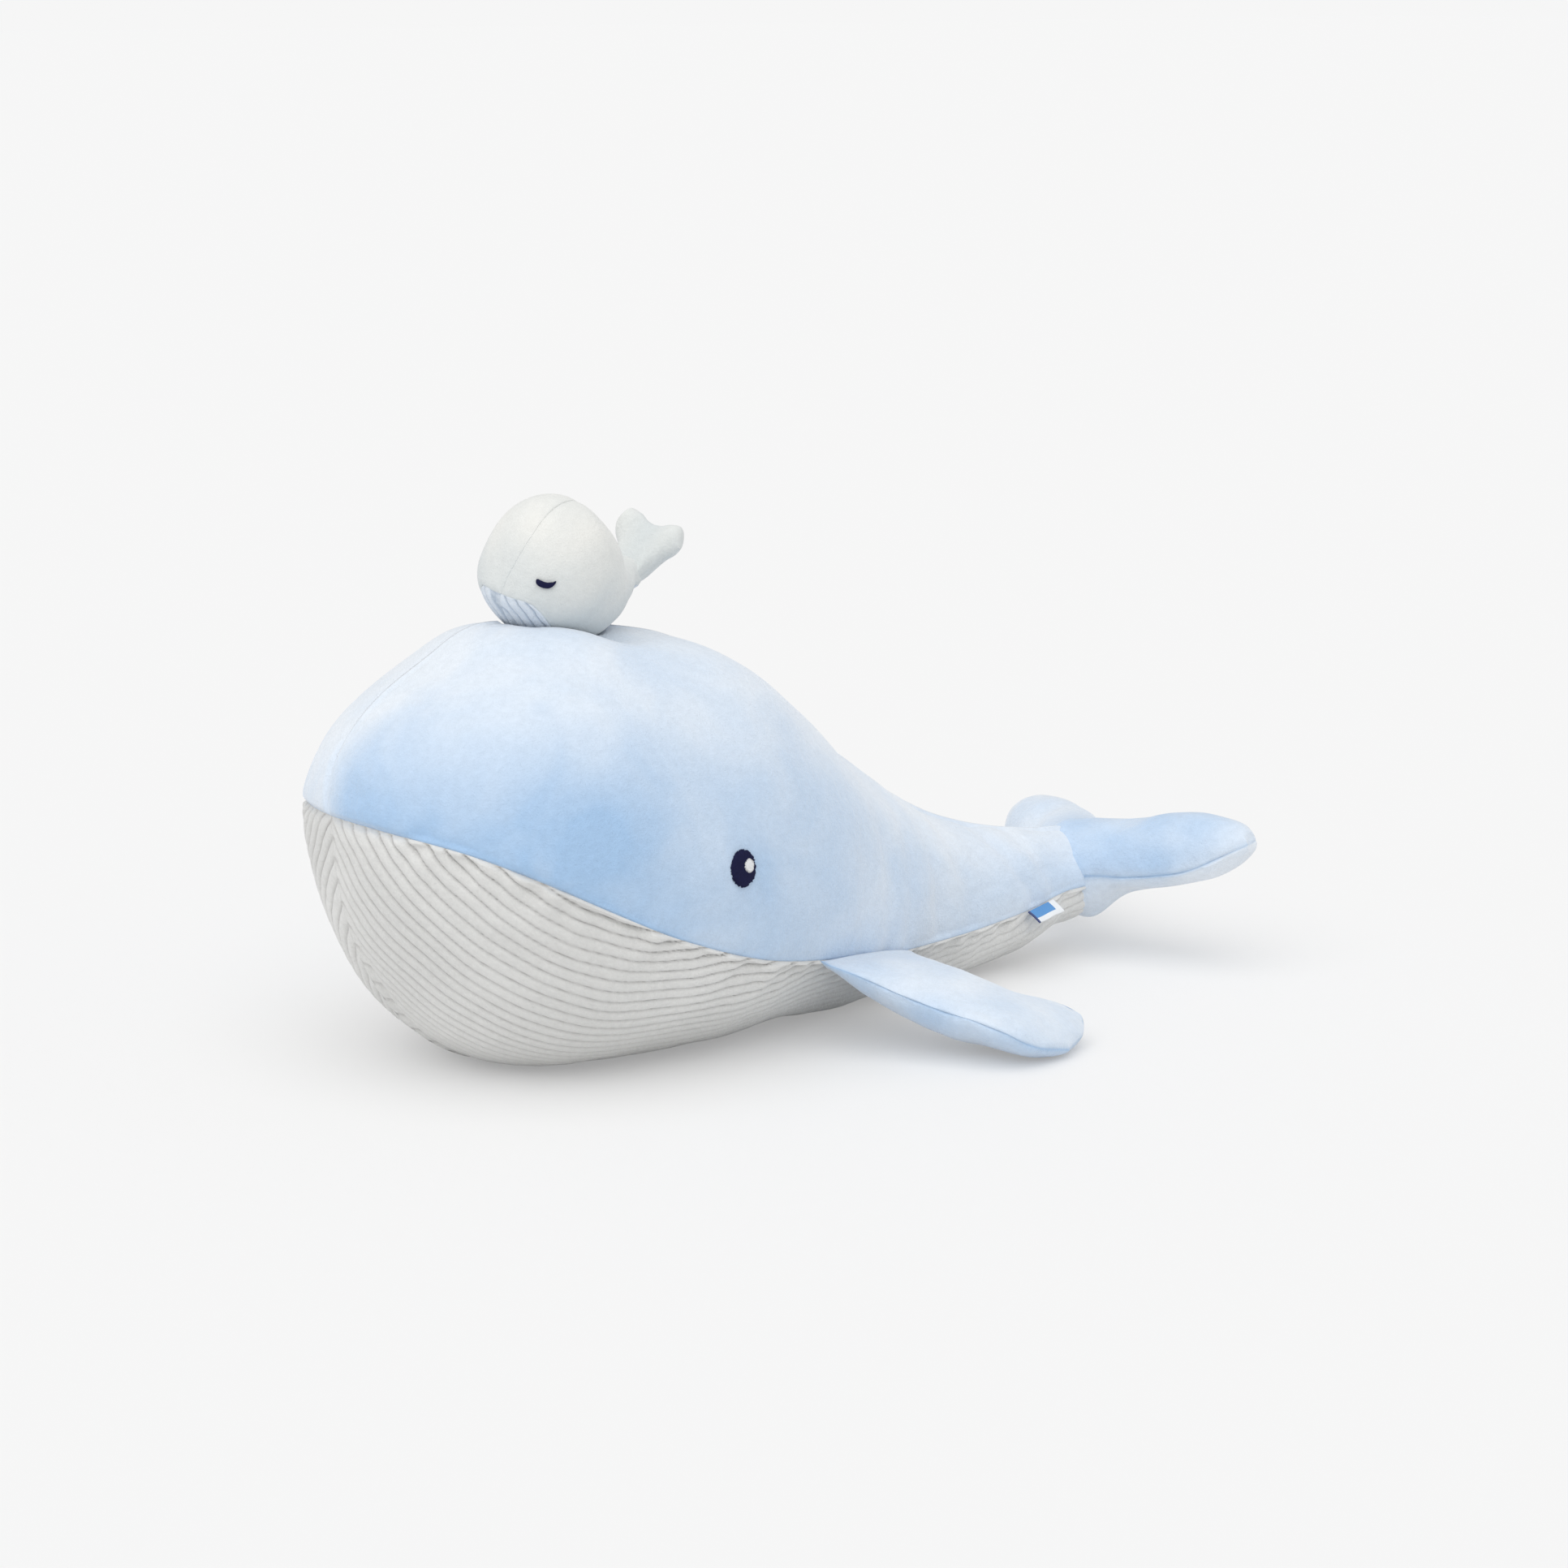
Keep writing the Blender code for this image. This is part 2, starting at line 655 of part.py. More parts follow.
def stitched_patch(name, tree, centre, normal, width, height, relief):
    """A low oval cushion of thread, flat underneath, that follows the skin under it."""
    upward = (up - normal * up.dot(normal)).normalized()
    across = upward.cross(normal)

    def place(row, turn):
        polar = math.pi * row / eye_rows
        ring = math.sin(polar)
        offset = across * (width / 2 * ring * math.cos(turn)) + upward * (height / 2 * ring * math.sin(turn))
        return on_skin(tree, centre + offset, normal, stitch_gap + relief * max(0.0, math.cos(polar)))

    return moved_sphere(name, eye_rows, eye_ring, place)


def add_eye(toy, whale, panels, side, word):
    """One of the whale's eyes: a navy patch with its white highlight on it."""
    height = eye_height_share * body_height
    angle = whale.angle_at(eye_along_share, height)
    centre = whale.point(eye_along_share, angle, side)
    normal = whale.normal(eye_along_share, angle, side)
    tree = tree_of(panels[f"crown_{word}"].data)
    patch = stitched_patch(f"eye_{word}", tree, centre, normal, eye_width, eye_height, eye_relief)
    toy.piece(patch.name, patch, toy.navy, toy.root)
    upward = (up - normal * up.dot(normal)).normalized()
    behind = (Vector((1, 0, 0)) - normal * normal.x).normalized()
    spot = centre + behind * highlight_behind + upward * highlight_up
    name = f"eye_{word}_highlight"
    highlight = stitched_patch(
        name, tree_of(patch), spot, normal, highlight_width, highlight_height, highlight_relief
    )
    toy.piece(name, highlight, toy.thread, toy.root)


def seam_frame(whale, tree, front_share, rear_share, side, lift):
    """A frame along the mouth seam between two places: out, back and up, lift clear of the skin there."""
    skin = []
    for step in range(seam_steps + 1):
        share = front_share + (rear_share - front_share) * step / seam_steps
        for turn in range(-seam_steps, seam_steps + 1):
            angle = whale.seam_angle(share) + seam_reach_turn * turn / seam_steps
            skin.append(on_skin(tree, whale.point(share, angle, side), whale.normal(share, angle, side), 0.0))
    places = [whale.point(share, whale.seam_angle(share), side) for share in (front_share, rear_share)]
    back = (places[1] - places[0]).normalized()
    level = back.cross(up).normalized() * -side
    middle_share = (front_share + rear_share) / 2
    out = whale.normal(middle_share, whale.seam_angle(middle_share), side)
    out = (out - back * out.dot(back)).normalized()
    bulge = max((point - places[0]).dot(out) for point in skin)
    rise = (up - back * up.dot(back)).normalized()
    place = (places[0] + places[1]) / 2 + out * (bulge + lift)
    return place, level, back, rise, (places[1] - places[0]).length


def drooped(place, level, back, rise, droop):
    out = level * math.cos(droop) - rise * math.sin(droop)
    return frame_of(place, out, back, rise * math.cos(droop) + level * math.sin(droop))


def fin_of(whale, tree, side):
    """A fin on the mouth seam that droops until its tip is just off the floor."""
    lift = fin_root_radius + fin_root_gap
    place, level, back, rise, chord = seam_frame(whale, tree, fin_front_share, fin_rear_share, side, lift)
    low, high = 0.0, fin_most_droop
    for _ in range(halvings):
        droop = (low + high) / 2
        fin = Fin(chord, drooped(place, level, back, rise, droop))
        turns = [2 * math.pi * i / fin.ring for i in range(fin.ring)]
        lowest = min(fin.at(row, turn).z for row in range(fin.rows + 1) for turn in turns)
        low, high = (droop, high) if lowest > fin_floor_gap else (low, droop)
    return fin


def add_fins(toy, whale, tree):
    for side, word in ((-1, "left"), (1, "right")):
        fin = fin_of(whale, tree, side)
        joint = toy.joint(f"fin_{word}_joint", fin.frame.translation, toy.root, fin.frame.col[1].xyz * side)
        add_pillow(toy, fin, f"fin_{word}", ("top", "bottom"), toy.blue, joint)


def add_fluke(toy, whale):
    """The fluke, hollowed at its root round the tail end. Returns it."""
    turn = Matrix.Rotation(-fluke_roll, 4, "X") @ Matrix.Rotation(-fluke_tilt, 4, "Y")
    fluke = Fluke(
        Matrix.Translation(whale.hinge_place) @ turn,
        rows=fluke_rows,
        ring=fluke_ring,
        half_span=fluke_half_span,
        depth=fluke_depth,
        curl=fluke_curl,
        tip_rise=fluke_tip_rise,
        front_edge=scaled(fluke_front_edge_shares, fluke_depth),
        rear_edge=scaled(fluke_rear_edge_shares, fluke_depth),
        swell=scaled(fluke_swell_shares, fluke_half_thickness),
    )
    joint = toy.joint("fluke_joint", whale.hinge_place, toy.root, -fluke.frame.col[1].xyz)
    radius = tail_end_radius + fluke_gap
    radii = (radius, tail_end_half_width + fluke_gap, radius)
    dome = toy.cutter(ball("tail_end_cutter", whale.hinge_place, radii, dome_segments))
    add_pillow(toy, fluke, "fluke", ("top", "bottom"), toy.blue, joint, (dome,))
    return fluke


def add_label(toy, whale, tree):
    lift = label_thickness * math.sqrt(0.5) + label_gap
    rear_share = label_front_share + label_length / body_length
    place, level, back, rise, _ = seam_frame(whale, tree, label_front_share, rear_share, -1, lift)
    frame = drooped(place, level, back, rise, label_droop)
    joint = toy.joint("label_joint", place, toy.root, -back)
    low = Vector((-label_thickness, -label_length, -label_thickness)) / 2
    high = Vector((label_reach, label_length / 2, label_thickness / 2))
    toy.piece("woven_label", block("woven_label", frame, low, high), toy.satin, joint)


def calf_place(tree):
    """The calf's place on the whale's head, and the middle of the gap where it sits."""
    heading = Vector((math.cos(calf_lean_heading), math.sin(calf_lean_heading), 0))
    turn = Matrix.Rotation(calf_lean, 4, heading) @ Matrix.Rotation(calf_yaw, 4, "Z")
    over = Vector((calf_seat_share * body_length, calf_seat_right, body_height + calf_height))
    seat = tree.ray_cast(over, -up)[0]
    middle = Vector((calf_nose_round_length, 0, calf_height / 2))
    place = Matrix.Translation(seat + up * calf_seat_lift) @ turn @ Matrix.Translation(-middle)
    return place, seat + up * calf_rest_gap / 2


def press_onto(mesh, tree, seat):
    """Lifts the points that would sink into the skin below, with room to rock round the seat."""
    for vertex in mesh.vertices:
        below = tree.ray_cast(vertex.co + up * calf_height, -up)[0]
        if below:
            room = math.tan(calf_rock) * (vertex.co - seat).xy.length
            vertex.co.z = max(vertex.co.z, below.z + calf_rest_gap + room)


def add_calf_eye(toy, calf, place, panel, side, word, joint):
    """A shut eye: one thread in a low arc, laid on the skin."""
    along = calf_eye_left_along_share if side < 0 else calf_eye_right_along_share
    angle = calf.angle_at(along, calf_eye_height_share * calf_height)
    centre = place @ calf.point(along, angle, side)
    turn = place.to_3x3()
    normal = turn @ calf.normal(along, angle, side)
    calf_up = turn @ up
    upward = (calf_up - normal * calf_up.dot(normal)).normalized()
    across = upward.cross(normal)
    tree = tree_of(panel.data)
    curve = bpy.data.curves.new(f"calf_eye_{word}", "CURVE")
    curve.dimensions = "3D"
    curve.bevel_depth = calf_eye_thread_radius
    curve.bevel_resolution = 1
    curve.use_fill_caps = True
    spline = curve.splines.new("POLY")
    spline.points.add(calf_eye_points - 1)
    for i, point in enumerate(spline.points):
        share = 2 * i / (calf_eye_points - 1) - 1
        offset = across * (calf_eye_width / 2 * share) + upward * (calf_eye_sag * share**2)
        point.co = (*on_skin(tree, centre + offset, normal, calf_eye_thread_radius + stitch_gap), 1)
    toy.piece(curve.name, curve, toy.navy, joint)


def add_calf(toy, whale_panels, skin):
    """The calf on its knot, with its own eyes and tail."""
    calf = calf_body()
    place, knot_place = calf_place(skin)
    calf.place = place
    calf.settle = lambda mesh: press_onto(mesh, skin, knot_place)
    turn = place.to_3x3()
    sway = toy.joint("calf_sway_joint", knot_place, toy.root, turn @ Vector((1, 0, 0)))
    rock = toy.joint("calf_rock_joint", knot_place, sway, turn @ Vector((0, -1, 0)))
    knot = ball("calf_knot", knot_place, Vector((1, 1, 1)) * knot_radius, knot_segments)
    toy.piece(knot.name, knot, toy.thread, sway)
    hollow = Vector((1, 1, 1)) * (knot_radius + knot_gap)
    hollow = toy.cutter(ball("knot_cutter", knot_place, hollow, knot_cutter_segments))
    panels, _ = add_body(toy, calf, "calf_", toy.white, toy.ribbed, rock)
    for panel in [whale_panels["crown_left"], whale_panels["crown_right"], *panels.values()]:
        toy.cut(panel, hollow)
    for side, word in ((-1, "left"), (1, "right")):
        add_calf_eye(toy, calf, place, panels[f"crown_{word}"], side, word, rock)
    fluke = Fluke(
        place @ Matrix.Translation(calf.hinge_place) @ Matrix.Rotation(-calf_fluke_tilt, 4, "Y"),
        rows=calf_fluke_rows,
        ring=calf_fluke_ring,
        half_span=calf_fluke_half_span,
        depth=calf_fluke_depth,
        curl=calf_fluke_curl,
        tip_rise=calf_fluke_tip_rise,
        front_edge=scaled(calf_fluke_front_edge_shares, calf_fluke_depth),
        rear_edge=scaled(calf_fluke_rear_edge_shares, calf_fluke_depth),
        swell=scaled(calf_fluke_swell_shares, calf_fluke_half_thickness),
    )
    joint = toy.joint("calf_tail_joint", fluke.frame.translation, rock, -fluke.frame.col[1].xyz)
    radius = calf_tail_end_radius + fluke_gap
    radii = (radius, calf_tail_end_half_width + fluke_gap, radius)
    dome = ball("calf_tail_end_cutter", Vector((0, 0, 0)), radii, dome_segments)
    dome.transform(place @ Matrix.Translation(calf.hinge_place))
    add_pillow(toy, fluke, "calf_tail", ("front", "rear"), toy.white, joint, (toy.cutter(dome),))


def main():
    for item in list(bpy.data.objects):
        bpy.data.objects.remove(item)
    toy = Toy()
    whale = whale_body()
    panels, skin = add_body(toy, whale, "", toy.blue, toy.ribbed, toy.root)
    for side, word in ((-1, "left"), (1, "right")):
        add_eye(toy, whale, panels, side, word)
    add_fins(toy, whale, skin)
    fluke = add_fluke(toy, whale)
    add_label(toy, whale, skin)
    add_calf(toy, panels, skin)
    turns = [2 * math.pi * i / fluke.ring for i in range(fluke.ring)]
    rear = max(fluke.at(row, turn).x for row in range(fluke.rows + 1) for turn in turns)
    toy.root.location.x = -rear / 2
    toy.report()


main()
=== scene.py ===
import math

import bmesh
import bpy
import numpy as np
from mathutils import Matrix, Vector
from mathutils.bvhtree import BVHTree


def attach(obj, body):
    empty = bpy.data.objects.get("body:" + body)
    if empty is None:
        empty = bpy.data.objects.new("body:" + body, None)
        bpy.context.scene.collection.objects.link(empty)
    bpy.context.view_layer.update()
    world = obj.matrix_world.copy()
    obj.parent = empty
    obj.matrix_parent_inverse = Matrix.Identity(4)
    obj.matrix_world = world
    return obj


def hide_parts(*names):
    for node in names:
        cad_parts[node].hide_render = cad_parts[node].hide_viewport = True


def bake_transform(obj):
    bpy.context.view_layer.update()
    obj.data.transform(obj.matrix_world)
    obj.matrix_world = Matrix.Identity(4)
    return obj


# Plush whale with a calf sewn on its head. Metres, nose to -X, the whale's left side to -Y, floor at z = 0.

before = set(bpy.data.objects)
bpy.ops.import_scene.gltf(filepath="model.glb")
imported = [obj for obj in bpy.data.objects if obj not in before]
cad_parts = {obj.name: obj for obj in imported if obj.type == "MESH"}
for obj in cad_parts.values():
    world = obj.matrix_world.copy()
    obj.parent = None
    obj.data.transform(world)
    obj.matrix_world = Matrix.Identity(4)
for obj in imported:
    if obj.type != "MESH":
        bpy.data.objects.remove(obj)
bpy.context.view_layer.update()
print("frame loaded:", len(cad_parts), "nodes")

up = Vector((0, 0, 1))
quarter = math.pi / 2
bodyShift = -0.29177  # from a body's own nose at x = 0 to the toy's frame

# Shared tools


# A cubic on each stretch between (share, value) knots, with slopes that never let it overshoot them
def curveThrough(knots, at):
    shares, values = np.array(knots, float).T
    steps = np.diff(shares)
    rises = np.diff(values) / steps
    slopes = np.zeros(len(shares))
    slopes[0], slopes[-1] = rises[0], rises[-1]
    same = rises[:-1] * rises[1:] > 0
    near, far = 2 * steps[1:] + steps[:-1], steps[1:] + 2 * steps[:-1]
    before, after = np.where(same, rises[:-1], 1.0), np.where(same, rises[1:], 1.0)
    slopes[1:-1] = np.where(same, (near + far) / (near / before + far / after), 0.0)
    at = np.clip(at, shares[0], shares[-1])
    i = np.clip(np.searchsorted(shares, at, side="right") - 1, 0, len(steps) - 1)
    t = (at - shares[i]) / steps[i]
    ends = values[i] * (1 + 2 * t) * (1 - t) ** 2 + values[i + 1] * t * t * (3 - 2 * t)
    return ends + steps[i] * t * (1 - t) * (slopes[i] * (1 - t) - slopes[i + 1] * t)


# 0 below low, 1 above high, an S curve between
def smoothStep(low, high, value):
    t = np.clip((value - low) / (high - low), 0, 1)
    return t * t * (3 - 2 * t)


# A sum of sine waves in random directions, each about one wavelength long: soft lumps from about -1 to 1
def lumps(points, wavelength, seed, waves=18, shortest=0.7, longest=1.5, peak=1.6):
    rng = np.random.default_rng(seed)
    directions = rng.normal(size=(waves, 3))
    directions /= np.linalg.norm(directions, axis=1)[:, None]
    lengths = wavelength * rng.uniform(shortest, longest, waves)
    phases = rng.uniform(0, 2 * math.pi, waves)
    total = np.zeros(points.shape[:-1])
    for direction, length, phase in zip(directions, lengths, phases):
        total += np.sin(points @ direction * (2 * math.pi / length) + phase)
    return total / math.sqrt(waves / 2) / peak


# Length along a grid's second axis from its first column, in every row
def runLength(points):
    steps = np.linalg.norm(np.diff(points, axis=1), axis=2)
    return np.concatenate([np.zeros((len(points), 1)), np.cumsum(steps, axis=1)], axis=1)


# Angles once round a ring, as a row
def ringTurns(count):
    return (np.arange(count) / count * 2 * math.pi)[None]


def unit(vectors):
    return vectors / np.maximum(np.linalg.norm(vectors, axis=-1, keepdims=True), 1e-12)


def placed(points, place):
    turn = np.array(place.to_3x3())
    return points @ turn.T + np.array(place.translation)


# Puts points and faces into a mesh, merges doubles at poles and points the faces outwards. The values become
# the attribute "pile", which the materials read: on plain plush the nap with its painted light and shade, on
# ribbed plush the mask of painted shade in the grooves, on the label the place across the tape
def meshObject(name, points, faces, material, values=None, weld=1e-6):
    mesh = bpy.data.meshes.new(name)
    mesh.from_pydata(points.reshape(-1, 3).tolist(), [], faces)
    if values is not None:
        mesh.attributes.new("pile", "FLOAT", "POINT").data.foreach_set("value", values.astype(np.float32))
    bm = bmesh.new()
    bm.from_mesh(mesh)
    bmesh.ops.remove_doubles(bm, verts=bm.verts, dist=weld)
    bmesh.ops.recalc_face_normals(bm, faces=bm.faces)
    if bm.calc_volume(signed=True) < 0:
        bmesh.ops.reverse_faces(bm, faces=bm.faces)
    bm.to_mesh(mesh)
    bm.free()
    mesh.shade_smooth()
    piece = bpy.data.objects.new(name, mesh)
    bpy.context.scene.collection.objects.link(piece)
    mesh.materials.append(material)
    return piece


def gridFaces(rows, columns, start=0, ring=False):
    width = columns if ring else columns + 1
    r, c = np.meshgrid(np.arange(rows), np.arange(columns), indexing="ij")
    nextColumn = (c + 1) % width
    here, below = r * width, (r + 1) * width
    quads = np.stack([here + c, below + c, below + nextColumn, here + nextColumn], -1)
    return (quads.reshape(-1, 4) + start).tolist()


def borderOf(rows, columns):
    width = columns + 1
    index = np.arange((rows + 1) * width).reshape(rows + 1, width)
    return np.concatenate([index[0, :-1], index[:-1, -1], index[-1, :0:-1], index[:0:-1, 0]])


# A sheet with a wall: the fine outer grid, a coarser inner one with every step-th row and column, and a
# border of fans from each coarse edge to the fine edges beside it
def walledSheet(name, outer, inner, step, material, values):
    rows, columns = outer.shape[0] - 1, outer.shape[1] - 1
    coarse = inner[::step, ::step]
    coarseRows, coarseColumns = coarse.shape[0] - 1, coarse.shape[1] - 1
    start = outer.shape[0] * outer.shape[1]
    faces = gridFaces(rows, columns)
    faces += [face[::-1] for face in gridFaces(coarseRows, coarseColumns, start)]
    outerRing, innerRing = borderOf(rows, columns), borderOf(coarseRows, coarseColumns) + start
    fine = np.append(outerRing, outerRing[0])
    k = np.arange(len(innerRing))
    here, there = innerRing, np.roll(innerRing, -1)
    half = step // 2
    for j in range(step):
        pivot = here if j < half else there
        faces += np.stack([pivot, fine[k * step + j], fine[k * step + j + 1]], -1).tolist()
    faces += np.stack([here, fine[k * step + half], there], -1).tolist()
    points = np.concatenate([outer.reshape(-1, 3), coarse.reshape(-1, 3)])
    values = np.concatenate([values.ravel(), np.zeros(coarse.shape[0] * coarse.shape[1])])
    return meshObject(name, points, faces, material, values)


# Materials


def linearColour(hexValue):
    channels = [int(hexValue[i : i + 2], 16) / 255 for i in (1, 3, 5)]
    return tuple(c / 12.92 if c <= 0.04045 else ((c + 0.055) / 1.055) ** 2.4 for c in channels) + (1.0,)


# Adds one shader node. Each input is linked where it is a socket, and set where it is a number or colour
def addNode(tree, kind, inputs=None, **settings):
    node = tree.nodes.new("ShaderNode" + kind)
    for key, value in settings.items():
        setattr(node, key, value)
    for key, value in (inputs or {}).items():
        if isinstance(value, bpy.types.NodeSocket):
            tree.links.new(value, node.inputs[key])
        else:
            node.inputs[key].default_value = value
    return node


def noise(tree, place, size, detail, **more):
    inputs = {"Vector": place, "Scale": 1 / size, "Detail": detail, **more}
    return addNode(tree, "TexNoise", inputs).outputs["Fac"]


def ranged(tree, value, low, high, start=0.0, end=1.0):
    inputs = {"Value": value, "From Min": start, "From Max": end, "To Min": low, "To Max": high}
    return addNode(tree, "MapRange", inputs).outputs["Result"]


def maths(tree, operation, first, second=0.0, **settings):
    return addNode(tree, "Math", {0: first, 1: second}, operation=operation, **settings).outputs[0]


# Sockets 6 and 7 are the two colours of a Mix node
def mixed(tree, factor, first, second, blend="MIX"):
    inputs = {"Factor": factor, 6: first, 7: second}
    return addNode(tree, "Mix", inputs, data_type="RGBA", blend_type=blend).outputs[2]


def bumped(tree, height, strength, distance, **more):
    inputs = {"Height": height, "Strength": strength, "Distance": distance, **more}
    return addNode(tree, "Bump", inputs).outputs["Normal"]


def newMaterial(name, values):
    material = bpy.data.materials.new(name)
    material.use_nodes = True
    shader = material.node_tree.nodes["Principled BSDF"]
    for key, value in values.items():
        shader.inputs[key].default_value = value
    return material, material.node_tree, shader


# Sizes are the real ones: patches where the pile was brushed one way or the other, tufts and single fibres
plush = dict(
    roughness=0.95, specular=0.15, sheenRoughness=0.5, ribNap=0.5, noiseRange=(0.3, 0.7), patchDetail=2.0,
    patchBend=0.6, tuftDetail=3.0, tuftRoughness=0.6, tuftRelief=0.0012, fibreDetail=2.0, fibreRoughness=0.7,
    fibreRelief=0.0006,
)
# dark and light are the pile's bluer and paler tones, which the nap mix also uses for painted light and shade
blueMinky = dict(
    plush, dark="#a8c8ea", light="#e7eff8", sheen=0.7, patchSize=0.05, patchShare=0.13, tuftSize=0.0042,
    tuftContrast=0.07, tuftBump=0.4, fibreSize=0.0014, fibreBump=0.8,
)
# The groove colour is painted shade down in the rib grooves
ribbedPlush = dict(
    plush, dark="#dcdcda", light="#e8e8e6", grooveShade="#c9c8c6", sheen=0.5, patchSize=0.08, patchShare=0.5,
    tuftSize=0.0032, tuftContrast=0.07, tuftBump=0.5, fibreSize=0.0012, fibreBump=0.8,
)
# dark is a bluish grey painted shade, with the whale's reflected blue, that the calf takes low down
whiteMinky = dict(
    plush, dark="#d1d8da", light="#ecece8", sheen=0.4, sheenRoughness=0.45, patchSize=0.05, patchShare=0.08,
    tuftSize=0.004, tuftContrast=0.05, tuftBump=0.35, fibreSize=0.0012, fibreBump=0.7,
)
# Its groove colour is a bluish painted shade
calfRibs = dict(ribbedPlush, dark="#dce5ef", light="#edf1f6", grooveShade="#b2bfce")
thread = dict(
    navy=("#0a0d38", 0.75), white=("#e9eaec", 0.6), specular=0.25, fuzzSize=0.0011, fuzzDetail=3.0, dark=0.65,
    light=1.25, bump=0.5, relief=0.0004,
)


# Short-pile minky: fine pile in brushed patches that lie paler and darker, matt with a soft sheen. With a
# groove shade colour it is ribbed plush, with painted shade down in its grooves
def plushMaterial(name, look):
    material, tree, shader = newMaterial(name, {
        "Roughness": look["roughness"], "Specular IOR Level": look["specular"], "Sheen Weight": look["sheen"],
        "Sheen Roughness": look["sheenRoughness"],
    })
    place = addNode(tree, "TexCoord").outputs["Object"]
    patches = noise(tree, place, look["patchSize"], look["patchDetail"], Distortion=look["patchBend"])
    tufts = noise(tree, place, look["tuftSize"], look["tuftDetail"], Roughness=look["tuftRoughness"])
    fibres = noise(tree, place, look["fibreSize"], look["fibreDetail"], Roughness=look["fibreRoughness"])
    pile = addNode(tree, "Attribute", attribute_name="pile").outputs["Fac"]
    ribbed = "grooveShade" in look
    patchTone = ranged(tree, patches, -look["patchShare"], look["patchShare"], *look["noiseRange"])
    # On plain plush the pile attribute brings the nap with its painted light and shade; brushed patches vary it
    lie = maths(tree, "ADD", look["ribNap"] if ribbed else pile, patchTone, use_clamp=True)
    colour = mixed(tree, lie, linearColour(look["dark"]), linearColour(look["light"]))
    tuftTone = ranged(tree, tufts, 1 - look["tuftContrast"], 1.0, *look["noiseRange"])
    colour = mixed(tree, 1.0, colour, tuftTone, "MULTIPLY")
    # Painted shade down in the rib grooves, where the pile attribute is low
    if ribbed:
        colour = mixed(tree, pile, linearColour(look["grooveShade"]), colour)
    tree.links.new(colour, shader.inputs["Base Color"])
    coarse = bumped(tree, tufts, look["tuftBump"], look["tuftRelief"])
    fine = bumped(tree, fibres, look["fibreBump"], look["fibreRelief"], Normal=coarse)
    tree.links.new(fine, shader.inputs["Normal"])
    return material


# Satin-stitched embroidery thread: smooth, slightly glossy strands
def threadMaterial(name, colour, rough):
    values = {"Roughness": rough, "Specular IOR Level": thread["specular"]}
    material, tree, shader = newMaterial(name, values)
    place = addNode(tree, "TexCoord").outputs["Object"]
    fuzz = noise(tree, place, thread["fuzzSize"], thread["fuzzDetail"])
    tone = ranged(tree, fuzz, thread["dark"], thread["light"])
    tree.links.new(mixed(tree, 1.0, linearColour(colour), tone, "MULTIPLY"), shader.inputs["Base Color"])
    tree.links.new(bumped(tree, fuzz, thread["bump"], thread["relief"]), shader.inputs["Normal"])
    return material


blueCloth = plushMaterial("pale blue minky plush", blueMinky)
ribCloth = plushMaterial("warm white ribbed plush", ribbedPlush)
whiteCloth = plushMaterial("off-white minky plush", whiteMinky)
calfRibCloth = plushMaterial("cool white ribbed plush", calfRibs)
navyThread = threadMaterial("navy embroidery thread", *thread["navy"])
whiteThread = threadMaterial("white embroidery thread", *thread["white"])
print("materials made")

# Stuffing: cloth held along its seams and blown up from inside

stuffing = dict(
    frames=20, step=4, quality=5, mass=0.001, pressure=8.0, tension=15.0, shear=5.0, bending=0.03, damping=5.0,
    softPasses=12, drop=0.6, creaseScale=0.0025, taps=(1, 2, 3, 4, 3, 2, 1), backSeamShare=0.3, backFade=0.12,
    mouthFade=0.10,
)


# How far a grid of cloth moves outwards when Blender's Cloth fills it with air. The held points are its seams.
# Rows at the ends that are held all round stay out of the simulation, so that no pole is in it
def blownUp(points, normals, held, ring, slack):
    loose = np.flatnonzero(~held.all(axis=1))
    inside = slice(loose[0] - 1, loose[-1] + 2)
    moves = np.zeros(points.shape[:2])
    points, normals, held = points[inside], normals[inside], held[inside]
    rows, columns = points.shape[0] - 1, points.shape[1] - (0 if ring else 1)
    faces = np.array(gridFaces(rows, columns, ring=ring))
    flat, outwards = points.reshape(-1, 3), normals.reshape(-1, 3)
    a, b, c, d = (flat[faces[:, k]] for k in range(4))
    if (np.cross(c - a, d - b) * outwards[faces[:, 0]]).sum() < 0:
        faces = faces[:, ::-1]
    mesh = bpy.data.meshes.new("bag")
    mesh.from_pydata(flat.tolist(), [], faces.tolist())
    bag = bpy.data.objects.new("bag", mesh)
    bpy.context.scene.collection.objects.link(bag)
    seams = bag.vertex_groups.new(name="seams")
    seams.add(np.flatnonzero(held.ravel()).tolist(), 1.0, "REPLACE")
    cloth = bag.modifiers.new("stuffing", "CLOTH")
    settings = cloth.settings
    settings.quality, settings.mass = stuffing["quality"], stuffing["mass"]
    settings.tension_stiffness = settings.compression_stiffness = stuffing["tension"]
    settings.shear_stiffness, settings.bending_stiffness = stuffing["shear"], stuffing["bending"]
    settings.tension_damping = settings.compression_damping = stuffing["damping"]
    settings.vertex_group_mass = "seams"
    settings.use_pressure, settings.uniform_pressure_force = True, stuffing["pressure"]
    settings.shrink_min = -slack
    settings.effector_weights.gravity = 0
    cloth.point_cache.frame_start, cloth.point_cache.frame_end = 1, stuffing["frames"]
    scene = bpy.context.scene
    for step in range(1, stuffing["frames"] + 1):
        scene.frame_set(step)
    blown = bag.evaluated_get(bpy.context.evaluated_depsgraph_get()).to_mesh()
    moved = np.empty(len(flat) * 3, np.float32)
    blown.vertices.foreach_get("co", moved)
    bpy.data.objects.remove(bag)
    bpy.data.meshes.remove(mesh)
    scene.frame_set(1)
    moves[inside] = ((moved.reshape(-1, 3) - flat) * outwards).sum(1).reshape(points.shape[:2])
    return moves


